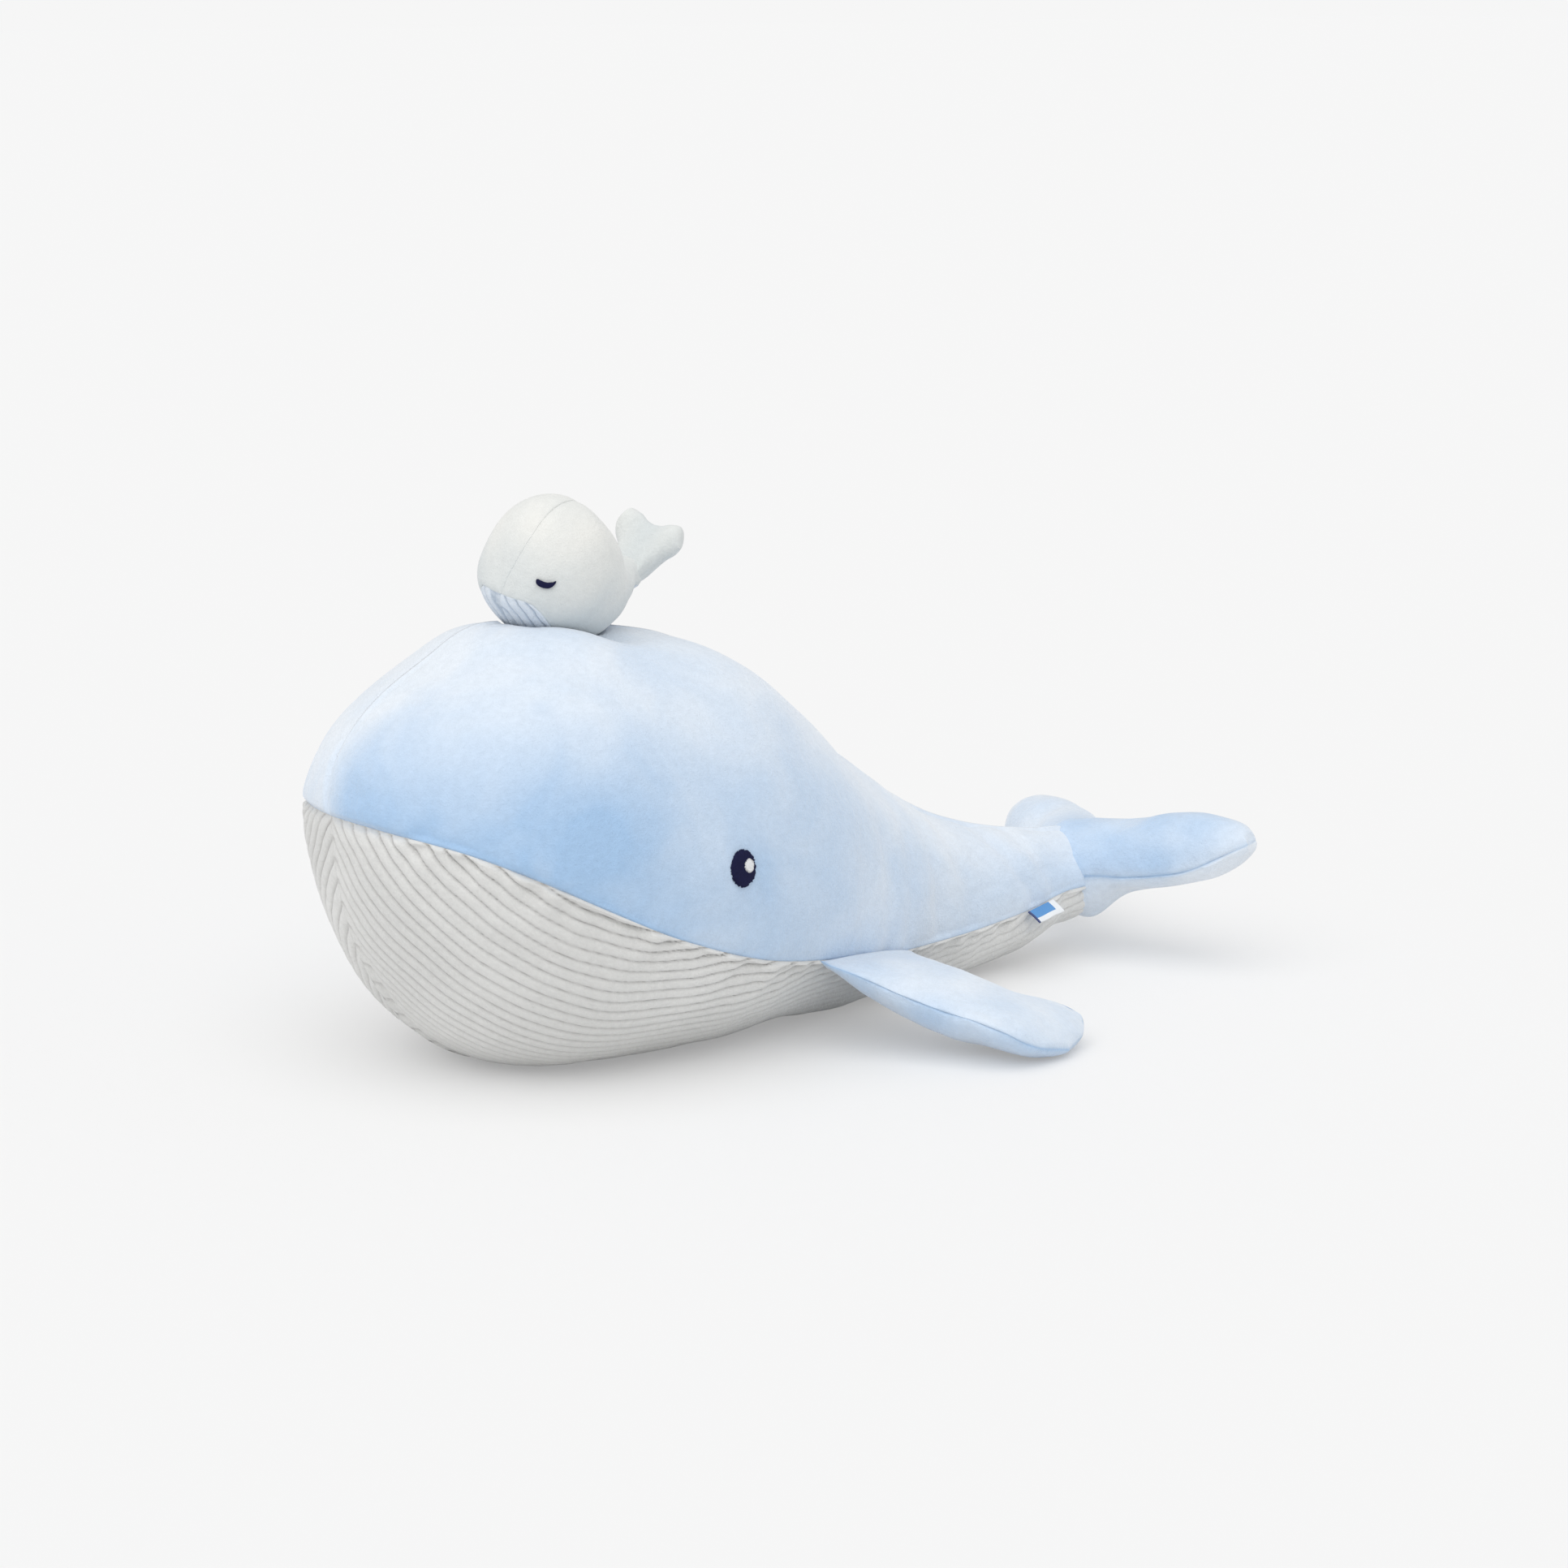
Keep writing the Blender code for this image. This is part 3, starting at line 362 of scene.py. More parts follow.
# Values on every step-th row and column, spread over the whole grid and smoothed
def spread(coarse, step, rows, columns, ring):
    fine = np.concatenate([coarse, coarse[:, :1]], axis=1) if ring else coarse
    taps = stuffing["taps"]
    reach = len(taps) // 2
    for axis, count in ((0, rows), (1, columns)):
        at = np.arange(count) / step
        low = np.minimum(at.astype(int), fine.shape[axis] - 2)
        share = (at - low)[:, None] if axis == 0 else (at - low)[None]
        fine = np.take(fine, low, axis) * (1 - share) + np.take(fine, low + 1, axis) * share
        ends = "wrap" if ring and axis == 1 else "edge"
        wide = np.pad(fine, [(reach, reach), (0, 0)] if axis == 0 else [(0, 0), (reach, reach)], mode=ends)
        fine = sum(w * np.take(wide, np.arange(k, k + count), axis) for k, w in enumerate(taps)) / sum(taps)
    return fine


# Heights that the stuffing gives a fine grid, from cloth blown up on a coarse copy of it: the broad swell is
# capped, and the creases by the seams are kept up to their own cap
def stuffedHeight(points, normals, held, ring, look):
    step, cap = stuffing["step"], look["puffCap"]
    moved = blownUp(points[::step, ::step], normals[::step, ::step], held[::step, ::step], ring, look["slack"])
    broad = moved
    for _ in range(stuffing["softPasses"]):
        broad = spread(broad, 1, *broad.shape, ring)
    creases = look["creaseCap"] * np.tanh((moved - broad) / stuffing["creaseScale"])
    total = cap * np.tanh(np.maximum(broad, 0) / cap) - cap * stuffing["drop"] + creases
    return spread(total, step, *points.shape[:2], ring)


# Stuffed bodies: rings round the X axis, with a round nose and a round tail end. A body's tables give, by the
# share of its length, shares of its height or of half its width

whale = dict(
    length=0.530, height=0.241, width=0.243, noseRound=0.131, chinPower=2.15, sidePower=0.92,
    endRadius=0.030, endHalfWidth=0.0316, endHeight=0.0505, endSeamHeight=0.0465, floor=0.0,
    back=[(0, 1.0), (0.18, 1.0), (0.30, 0.997), (0.40, 0.965), (0.48, 0.89), (0.55, 0.78), (0.62, 0.635),
          (0.70, 0.505), (0.78, 0.41), (0.87, 0.355)],
    underside=[(0, -0.02), (0.3, -0.03), (0.6, -0.02), (0.76, -0.01), (0.87, 0.03)],
    widest=[(0, 0.633), (0.15, 0.55), (0.3, 0.45), (0.5, 0.35), (0.65, 0.25), (0.8, 0.205)],
    seam=[(0, 0.633), (0.05, 0.602), (0.12, 0.532), (0.20, 0.443), (0.28, 0.358), (0.40, 0.262), (0.50, 0.215),
          (0.62, 0.17), (0.74, 0.16), (0.85, 0.17)],
    halfWidth=[(0, 1.0), (0.25, 1.04), (0.38, 1.0), (0.5, 0.86), (0.62, 0.65), (0.74, 0.47), (0.85, 0.35)],
    place=Matrix.Translation((bodyShift, 0, 0)),
    noseRows=176, middleRows=140, tailRows=20, bellyColumns=232, crownColumns=128, wallStep=4, wall=0.0045,
    seamDepth=0.0019, seamWidth=0.0034, bellySeamDepth=0.0017, backSeamDepth=0.0006, backSeamWidth=0.0034,
    ribPitch=0.0067, ribDepth=0.0019, ribPuff=0.0034, ribTilt=(45, 45), ribWave=0.0007, ribFade=0.5,
    lumpHeight=0.0011, lumpSize=0.38, floorSoftness=0.0012, floorGap=0.0002, wallGap=0.0012, fillShare=0.9,
    heldRows=8, puffCap=0.003, creaseCap=0.0012, slack=0.012, paintedSeamShade=0.35,
    backSeamShift=[(0, 0), (0.004, 0.003), (0.03, 0.007), (0.10, 0.013), (0.2, 0.018), (0.35, 0.016),
                   (0.6, 0.005), (0.8, 0)],
)
calf = dict(
    length=0.121, height=0.0795, width=0.0795, noseRound=0.0397, chinPower=2.0, sidePower=1.0,
    endRadius=0.011, endHalfWidth=0.0115, endHeight=0.0355, endSeamHeight=0.0305, floor=-0.0795,
    back=[(0, 1.0), (0.31, 1.0), (0.46, 0.92), (0.64, 0.66), (0.80, 0.585)],
    underside=[(0, -0.03), (0.31, -0.07), (0.5, -0.08), (0.64, 0.0), (0.80, 0.17)],
    widest=[(0, 0.27), (0.07, 0.37), (0.15, 0.425), (0.31, 0.47), (0.5, 0.42), (0.8, 0.41)],
    seam=[(0, 0.245), (0.08, 0.145), (0.2, 0.07), (0.3, 0.058), (0.45, 0.06), (0.64, 0.16), (0.8, 0.30)],
    halfWidth=[(0, 1.0), (0.31, 1.01), (0.48, 0.955), (0.64, 0.76), (0.80, 0.475)],
    place=Matrix(((0.92368, -0.31916, 0.21201, 0.10542 + bodyShift), (0.35323, 0.92368, -0.14845, 0.00488),
                  (-0.14845, 0.21201, 0.96593, 0.24157), (0, 0, 0, 1))),
    noseRows=76, middleRows=60, tailRows=16, bellyColumns=84, crownColumns=96, wallStep=4, wall=0.0022,
    seamDepth=0.0012, seamWidth=0.0020, bellySeamDepth=0.0010, backSeamDepth=0.0016, backSeamWidth=0.0028,
    ribPitch=0.0062, ribDepth=0.0011, ribPuff=0.0006, ribTilt=(76, 104), ribWave=0.0003, ribFade=0.0,
    lumpHeight=0.0004, lumpSize=0.38, floorSoftness=0.0, fillShare=0.9,
    heldRows=4, puffCap=0.001, creaseCap=0.0005, slack=0.012, paintedSeamShade=0.08,
    backSeamShift=[(0, 0), (0.02, -0.0028), (0.08, -0.0052), (0.3, -0.0045), (0.6, -0.003), (0.8, 0)],
)
# Where the calf is sewn on: its knot's place, the bowl pulled down under it, the dimple behind it and the rim
# of cloth that swells up round its front
calfSeat = dict(
    place=np.array([-0.14125, 0.013, 0.23837]), gap=0.0004, reach=0.105, fullReach=0.55, topHeight=0.2,
    rimHeights=(0.2, 0.228), under=0.15, blend=0.026, bowl=np.array([-0.132, 0.001]), bowlRadius=0.026,
    bowlDepth=0.0075, bowlEdge=(0.5, 1.3), wallShare=0.5, dimple=np.array([-0.1165, -0.012]), dimpleRadius=0.016,
    dimpleDepth=0.0055, rimHeight=0.0066, rimRadius=0.046, rimWidth=0.030, rimFront=0.022, rimBack=-0.018,
)


tableSamples, tableOverrun, roundingReach = 2201, 0.05, 30


# Adds the tail end's knots to each table and samples it finely, with a short running mean to round the knots
def prepareBody(body):
    hinge = 1 - body["endRadius"] / body["length"]
    ends = dict(
        back=body["endHeight"] + body["endRadius"], underside=body["endHeight"] - body["endRadius"],
        widest=body["endHeight"], halfWidth=body["endHalfWidth"], seam=body["endSeamHeight"],
    )
    body["hinge"], body["tables"] = hinge, {}
    at = np.linspace(-tableOverrun, 1 + tableOverrun, tableSamples)
    lastShare = body["halfWidth"][-1][0]
    power = [(0, body["sidePower"]), (lastShare, body["sidePower"]), (hinge, 1.0), (1.0001, 1.0)]
    for table, end in ends.items():
        size = body["width"] / 2 if table == "halfWidth" else body["height"]
        knots = [(s, v * size) for s, v in body[table] if s < hinge] + [(hinge, end), (1, end)]
        values = curveThrough(knots, at)
        window = np.hanning(2 * roundingReach + 1)
        padded = np.pad(values, roundingReach, mode="edge")
        body["tables"][table] = (at, np.convolve(padded, window / window.sum(), mode="valid"))
    body["tables"]["power"] = (at, curveThrough(power, at))


def tableAt(body, table, along):
    return np.interp(along, *body["tables"][table])


def capsOf(body, along):
    x = along * body["length"]
    front = np.clip(x / body["noseRound"], 0, 1)
    behind = np.clip((body["length"] - x) / body["endRadius"], 0, 1)
    tail = np.sqrt(1 - (1 - behind) ** 2)
    power = body["chinPower"]
    return np.sqrt(1 - (1 - front) ** 2) * tail, (1 - (1 - front) ** power) ** (1 / power) * tail


def seamAngle(body, along):
    seam, middle = tableAt(body, "seam", along), tableAt(body, "widest", along)
    edge = np.where(seam > middle, tableAt(body, "back", along), tableAt(body, "underside", along))
    return np.arcsin(np.clip((seam - middle) / np.abs(edge - middle), -1, 1))


# A skin point: half the width times the angle's cosine to a power, and the height's share by its sine, both
# shrunk by the round ends. The angle is -90 degrees at the belly and 90 at the back, side -1 is the left
def skinPoint(body, along, angle, side):
    upper, lower = capsOf(body, along)
    middle = tableAt(body, "widest", along)
    above, below = tableAt(body, "back", along) - middle, middle - tableAt(body, "underside", along)
    reach = np.where(angle > 0, above * upper, below * lower)
    # An angle past 90 degrees is over the back, on the other side
    cosine = np.sign(np.cos(angle)) * np.abs(np.cos(angle)) ** tableAt(body, "power", along)
    y = side * tableAt(body, "halfWidth", along) * cosine * upper
    z = middle + reach * np.sin(angle)
    soft = body["floorSoftness"]
    if soft:
        z = body["floor"] + soft * np.logaddexp(0, (z - body["floor"]) / soft)
    x = np.broadcast_to(along * body["length"], z.shape)
    return np.stack([x, np.broadcast_to(y, z.shape), z], -1)


# Outward normals from short steps on the skin, flat across the belly's middle so that both halves agree there
def skinNormal(body, along, angle, side):
    small, turn, flat = 0.0008, math.radians(0.3), math.radians(1.5)
    safe = np.clip(along, 2 * small, 1 - 2 * small)
    limit = quarter - 2 * turn
    inside = np.maximum(angle, -limit)
    forward = skinPoint(body, safe + small, inside, side) - skinPoint(body, safe - small, inside, side)
    around = skinPoint(body, safe, inside + turn, side) - skinPoint(body, safe, inside - turn, side)
    normal = unit(np.cross(forward, around) * -side)
    middle = smoothStep(limit - flat, limit, -angle)
    normal[..., 1] *= 1 - middle
    return unit(normal)


# Rows close together round both ends: even turns there, even steps between
def rowShares(body):
    nose = body["noseRound"] / body["length"]
    turns = np.arange(body["noseRows"]) / body["noseRows"] * quarter
    front = nose * (1 - np.cos(turns))
    between = nose + (body["hinge"] - nose) * np.arange(body["middleRows"]) / body["middleRows"]
    ends = body["hinge"] + (1 - body["hinge"]) * np.sin(np.linspace(0, quarter, body["tailRows"] + 1))
    return np.concatenate([front, between, ends])


# The ribbed cloth. Waves are shares of the body's height, puffs and seamFade shares of the seam's width, noseFade
# and stretch shares of the body's length, and mouthReach is in metres
rib = dict(
    ringSamples=721, flatness=2.6, roundness=0.7, wideWave=0.2, narrowWave=0.09, mouthWave=1.2, mouthReach=0.012,
    seamFade=0.35, puffReach=1.6, puffFade=0.6, noseFade=0.04, stretch=(0.42, 0.72), rise=1.3,
)


# Where a thread of the ribbed cloth runs: the length round the ring from the belly's middle. On the round
# nose the threads run in planes along X, so they sweep up to a chevron at the middle seam
def ribCoordinate(body, along, angle, side, points):
    nose = body["noseRound"] / body["length"]
    ringAngles = np.linspace(-quarter, quarter, rib["ringSamples"])
    ring = skinPoint(body, np.full(len(ringAngles), nose), ringAngles, side)
    ringLengths = np.concatenate([[0], np.cumsum(np.linalg.norm(np.diff(ring, axis=0), axis=1))])
    upper, lower = capsOf(body, along)
    cap = np.where(angle > 0, upper, lower)
    tilt = math.radians(body["ribTilt"][0 if side < 0 else 1])
    sine = np.sin(tilt) * np.cos(angle) * upper + np.cos(tilt) * np.sin(angle) * cap
    onNose = np.interp(np.arcsin(np.clip(sine, -1, 1)) - tilt, ringAngles, ringLengths)
    return np.where(along <= nose, onNose, runLength(points))


# Soft wide ridges with narrow grooves: 1 on a ridge, 0 down in a groove
def ribRidge(along, pitch):
    across = np.abs(2 * np.mod(along / pitch, 1) - 1)
    return (1 - across ** rib["flatness"]) ** rib["roundness"]


# The ribs of a belly panel: their heights, and how far each point stands out of a groove, 0 to 1, the mask of
# the painted shade down in the grooves
def ribsOf(body, along, angle, side, points, own, toMouth, toSeam):
    width = body["seamWidth"]
    across = ribCoordinate(body, along, angle, side, points)
    across = across + body["ribWave"] * lumps(own, body["height"] * rib["wideWave"], 8)
    gathered = lumps(own, body["height"] * rib["narrowWave"], 9) * np.exp(-toMouth / rib["mouthReach"])
    ridge = ribRidge(across + rib["mouthWave"] * body["ribWave"] * gathered, body["ribPitch"])
    height = -body["ribDepth"] * (1 - ridge) * smoothStep(0, rib["seamFade"] * width, toSeam)
    # Each rib ends in a small puff where the mouth seam pinches it
    pinched = np.exp(-toMouth / (rib["puffReach"] * width)) * smoothStep(0, rib["puffFade"] * width, toMouth)
    height = height + body["ribPuff"] * ridge * pinched * smoothStep(0, rib["noseFade"], along)
    # Towards the tail the cloth is stretched, its grooves are shallower and have less painted shade
    stretched = body["ribFade"] * smoothStep(*rib["stretch"], along)
    return height * (1 - stretched), np.clip(ridge * rib["rise"], 0, 1) * (1 - stretched) + stretched


# How far each seam pulls the cloth in: deepest on the seam, fading over a few millimetres
def seamPull(body, part, toMouth, toMiddle):
    mouth = body["seamDepth"] * np.exp(-toMouth / body["seamWidth"])
    if part == "belly":
        middle = body["bellySeamDepth"] * np.exp(-toMiddle / body["seamWidth"])
    else:
        middle = body["backSeamDepth"] * np.exp(-toMiddle / body["backSeamWidth"])
    return np.maximum(mouth, middle)


# The whale's pile with painted light and shade: what each zone adds, and where it starts and ends, in metres or
# as shares of the back's height. top and rear are painted light, cheek is painted shade. The zone by the nose's
# middle seam differs between the right side, 1, and the left, -1
blueNapAndShading = dict(
    base=0.40, top=0.42, topShares=(0.64, 0.97), rear=0.26, rearRange=(-0.06, 0.05), cheek=0.42,
    cheekHeights=(0.228, 0.135), cheekRange=(-0.10, -0.22), noseRange=(-0.16, -0.24),
    seamFade={1: (0.03, 0.08), -1: (0.006, -0.022)}, seamPale={1: 0.9, -1: 0.7}, lumps=0.06, lumpSize=0.075,
)
# The calf's tones: its top is painted light, over the bluish painted shade of its lower part
whiteNapAndShading = dict(base=0.30, top=0.60, topShares=(0.05, 0.95), lumps=0.10, lumpSize=0.03)


# Which way the pile lies, with painted light and shade: 0 looks bluer and 1 pale. Beside the seam along the
# nose's middle the pile lies palest, brushed, and random lumps vary it. Up on the back and at the rear it is
# painted paler as light from above and sheen; low on the left cheek it is painted bluest as shade
def blueNapAndShadingOf(points, side):
    x, y, z = np.moveaxis(points, -1, 0)
    share = (x - bodyShift) / whale["length"]
    top = smoothStep(*blueNapAndShading["topShares"], z / tableAt(whale, "back", share))
    rear = smoothStep(*blueNapAndShading["rearRange"], x)
    cheek = smoothStep(*blueNapAndShading["cheekHeights"], z) * smoothStep(*blueNapAndShading["cheekRange"], x)
    fade = smoothStep(*blueNapAndShading["seamFade"][side], y)
    cheek = cheek * fade - blueNapAndShading["seamPale"][side] * smoothStep(*blueNapAndShading["noseRange"], x) * (1 - fade)
    # The top and the rear add painted light, the cheek takes painted shade off
    napAndShading = blueNapAndShading["base"] + blueNapAndShading["top"] * top + blueNapAndShading["rear"] * rear * (1 - top) - blueNapAndShading["cheek"] * cheek
    return np.clip(napAndShading + blueNapAndShading["lumps"] * lumps(points, blueNapAndShading["lumpSize"], 12), 0, 1)


# The calf's painted light and shade: pale on top where the light falls, and low down, where it sits on the
# whale, the bluish dark tone as painted shade with the whale's reflected blue; random lumps vary it
def whiteNapAndShadingOf(points, own):
    top = smoothStep(*whiteNapAndShading["topShares"], points[..., 2] / calf["height"])
    return whiteNapAndShading["base"] + whiteNapAndShading["top"] * top + whiteNapAndShading["lumps"] * lumps(own, whiteNapAndShading["lumpSize"], 14)


# Upright folds of the tail stock, each with its X, depth, width and lean, gathers at the mouth seam, the swell
# at the nose and the slack cloth bunched at the belly's tail end
folds = dict(
    stock=[(0.0, 0.0012, 0.007, 0.1), (0.026, 0.0019, 0.007, 0.05), (0.049, 0.0012, 0.006, 0.15),
           (0.078, 0.0021, 0.007, 0.0), (0.104, 0.0013, 0.006, -0.1), (0.148, 0.0022, 0.006, -0.55),
           (0.171, 0.0016, 0.006, -0.5)],
    stockHeights=(0.165, 0.06), stockMiddle=0.08, gatherReach=0.013, gatherLength=0.017, gatherHeight=0.0024,
    gatherStretch=np.array([1.0, 1.0, 0.6]), gatherShare=dict(crown=0.25, belly=1.0), noseFade=0.04,
    noseSwell=0.0035, noseSwellEnd=0.05, bunch=0.0040, bunchRange=(0.78, 0.90), bunchFade=0.02,
)


# Folds and dents of the whale's own cloth, as heights along the normal
def whaleFolds(part, points, along, toMouth):
    height = 0.0
    if part == "crown":
        low = smoothStep(*folds["stockHeights"], points[..., 2])
        for place, depth, width, lean in folds["stock"]:
            across = (points[..., 0] - place - lean * (points[..., 2] - folds["stockMiddle"])) / width
            height = height - depth * np.exp(-(across**2)) * low
    gathers = lumps(points * folds["gatherStretch"], folds["gatherLength"], 21)
    gathers = folds["gatherShare"][part] * gathers * np.exp(-toMouth / folds["gatherReach"])
    height = (height + folds["gatherHeight"] * gathers) * smoothStep(0, folds["noseFade"], along)
    height = height + folds["noseSwell"] * smoothStep(folds["noseSwellEnd"], 0, along)
    if part == "belly":
        bunched = smoothStep(*folds["bunchRange"], along) * smoothStep(0, folds["bunchFade"], toMouth)
        height = height + folds["bunch"] * bunched
    return height


# The middle of the whale's head is pulled down where the calf is sewn on: depth of this bowl
def bowlOf(flat):
    away = np.linalg.norm(flat - calfSeat["bowl"], axis=-1) / calfSeat["bowlRadius"]
    return calfSeat["bowlDepth"] * (1 - smoothStep(*calfSeat["bowlEdge"], away))


# Round the calf's front the cloth swells up to it, and behind it there is a dimple: rise over the plain head
def rimOf(flat):
    away = np.linalg.norm(flat - calfSeat["place"][:2], axis=-1)
    front = smoothStep(calfSeat["rimFront"], calfSeat["rimBack"], flat[..., 0] - calfSeat["place"][0])
    rim = calfSeat["rimHeight"] * front * np.exp(-(((away - calfSeat["rimRadius"]) / calfSeat["rimWidth"]) ** 2))
    behind = np.linalg.norm(flat - calfSeat["dimple"], axis=-1) / calfSeat["dimpleRadius"]
    return rim - calfSeat["dimpleDepth"] * np.exp(-(behind**2))


# The height of the whale's plain head over (x, y), from the ring there
def headHeight(flat):
    along = np.clip((flat[..., 0] - bodyShift) / whale["length"], 0, 1)
    upper = capsOf(whale, along)[0]
    middle = tableAt(whale, "widest", along)
    share = np.clip(np.abs(flat[..., 1]) / (tableAt(whale, "halfWidth", along) * np.maximum(upper, 1e-6)), 0, 1)
    cosine = share ** (1 / tableAt(whale, "power", along))
    return middle + (tableAt(whale, "back", along) - middle) * upper * np.sqrt(1 - cosine**2)


# The calf's whole skin as a tree for rays, so that the whale's cloth can lie against it
def calfTree(columns=60):
    along = rowShares(calf)[::2, None]
    angle = np.linspace(-quarter, quarter, columns + 1)[None]
    halves = [placed(skinPoint(calf, along, angle, side), calf["place"]) for side in (-1, 1)]
    faces = gridFaces(len(along) - 1, columns)
    count = len(along) * (columns + 1)
    points = np.concatenate([half.reshape(-1, 3) for half in halves])
    return BVHTree.FromPolygons(points.tolist(), faces + [[i + count for i in face] for face in faces])


# Lays the top of the head against the calf: up to the rim's height, but under the calf where that is lower
def seatedUnder(layer, tree, lift):
    reach = calfSeat["reach"]
    away = np.linalg.norm(layer[..., :2] - calfSeat["place"][:2], axis=-1)
    for row, column in np.argwhere((away < reach) & (layer[..., 2] > calfSeat["topHeight"])):
        point = layer[row, column]
        flat = point[:2]
        fade = smoothStep(reach, calfSeat["fullReach"] * reach, away[row, column])
        height = point[2] + float(rimOf(flat) * fade * smoothStep(*calfSeat["rimHeights"], point[2]))
        hit = tree.ray_cast(Vector((flat[0], flat[1], calfSeat["under"])), up)[0]
        if hit:
            floor = float(headHeight(flat) - bowlOf(flat))
            height = min(height, max(hit.z, floor) - calfSeat["gap"])
        layer[row, column, 2] = height - lift


# The whale's cloth lies against the calf and stays above the floor
def settleWhale(part, outer, inner):
    if part == "crown":
        tree = calfTree()
        seatedUnder(outer, tree, 0.0)
        seatedUnder(inner, tree, calfSeat["wallShare"] * whale["wall"])
    outer[..., 2] = np.maximum(outer[..., 2], whale["floorGap"])
    inner[..., 2] = np.maximum(inner[..., 2], whale["wallGap"])


# The calf's cloth stays above the head, with its bowl
def settleCalf(outer, inner):
    for layer, lift in ((outer, 0.0), (inner, calf["wall"])):
        flat = layer[..., :2]
        near = np.linalg.norm(flat - calfSeat["place"][:2], axis=-1) < calfSeat["reach"]
        least = headHeight(flat) - bowlOf(flat) + calfSeat["gap"] + lift
        layer[..., 2] = np.where(near, np.maximum(layer[..., 2], least), layer[..., 2])


# The angles between which a panel runs. The seam along the back wanders off the middle by the body's table
def panelAngles(body, part, side, along):
    seam = seamAngle(body, along)
    if part == "belly":
        return -quarter, seam
    leastCap, mostShift = 0.03, 0.6
    shift = curveThrough(body["backSeamShift"], along) / tableAt(body, "halfWidth", along)
    shift = shift / np.maximum(capsOf(body, along)[0], leastCap)
    return seam, quarter - side * np.arcsin(np.clip(shift, -mostShift, mostShift))


# How far from a seam its shade and its hold on the swell reach, as shares of the seam's width
seamShade, seamHold = 0.5, 1.2


def bodyPanel(body, name, part, side, material):
    along = rowShares(body)[:, None]
    low, high = panelAngles(body, part, side, along)
    angle = low + (high - low) * np.linspace(0, 1, body[part + "Columns"] + 1)[None]
    points = skinPoint(body, along, angle, side)
    normals = skinNormal(body, along, angle, side)
    own = placed(points, body["place"])
    fromFirst = runLength(points)
    fromLast = fromFirst[:, -1:] - fromFirst
    toMouth, toMiddle = (fromFirst, fromLast) if part == "crown" else (fromLast, fromFirst)
    toSeam = np.minimum(toMouth, toMiddle)
    height = body["lumpHeight"] * (lumps(own, body["height"] * body["lumpSize"], 3) - 1)
    held = np.zeros(angle.shape, bool)
    held[:, [0, -1]] = held[: body["heldRows"] + 1] = held[-body["heldRows"] - 1 :] = True
    blown = stuffedHeight(points, normals, held, False, body)
    if part == "crown":
        # The swell fades towards the seam along the back and towards the mouth
        backFade = smoothStep(0, stuffing["backFade"] * body["height"], toMiddle)
        blown = blown * (stuffing["backSeamShare"] + (1 - stuffing["backSeamShare"]) * backFade)
        blown = blown * smoothStep(0, stuffing["mouthFade"] * body["height"], toMouth)
        # The nap brings painted light and shade, and along the seams the pile is darkened as painted shade in
        # their creases
        napAndShading, shaded = (blueNapAndShadingOf(own, side), toMouth) if body is whale else (whiteNapAndShadingOf(points, own), toSeam)
        ribs, pile = 0.0, napAndShading - body["paintedSeamShade"] * np.exp(-shaded / (seamShade * body["seamWidth"]))
    else:
        # The second value is the mask of painted shade down in the rib grooves
        ribs, pile = ribsOf(body, along, angle, side, points, own, toMouth, toSeam)
    height = height + blown
    if body is whale:
        height = height + whaleFolds(part, own, along, toMouth)
    # Everything fades to nothing on the seams, so that neighbours meet edge to edge
    height = height * smoothStep(0, seamHold * body["seamWidth"], toSeam)
    height = height - seamPull(body, part, toMouth, toMiddle) + ribs
    outer = placed(points + normals * height[..., None], body["place"])
    inner = placed(points + normals * (np.minimum(height, 0) - body["wall"])[..., None], body["place"])
    if body is whale:
        settleWhale(part, outer, inner)
    else:
        settleCalf(outer, inner)
    return walledSheet(name, outer, inner, body["wallStep"], material, pile)


prepareBody(whale)
prepareBody(calf)
for side, word in ((-1, "Left"), (1, "Right")):
    for part, material, slot in (("crown", blueCloth, "blue_minky"), ("belly", ribCloth, "ribbed_plush")):
        panel = bodyPanel(whale, part + word, part, side, material)
        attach(panel, "whale")
        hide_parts(f"{part}_panel_{word.lower()}", "body_filling")
print("whale's body made")
for side, word in ((-1, "Left"), (1, "Right")):
    for part, material, slot in (("Crown", whiteCloth, "white_minky"), ("Belly", calfRibCloth, "ribbed_plush")):
        panel = bodyPanel(calf, "calf" + part + word, part.lower(), side, material)
        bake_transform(panel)
        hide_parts(f"calf_{part.lower()}_panel_{word.lower()}", "calf_body_filling")
print("calf's body made")

# Flat stuffed pieces: fins, fluke and the calf's tail

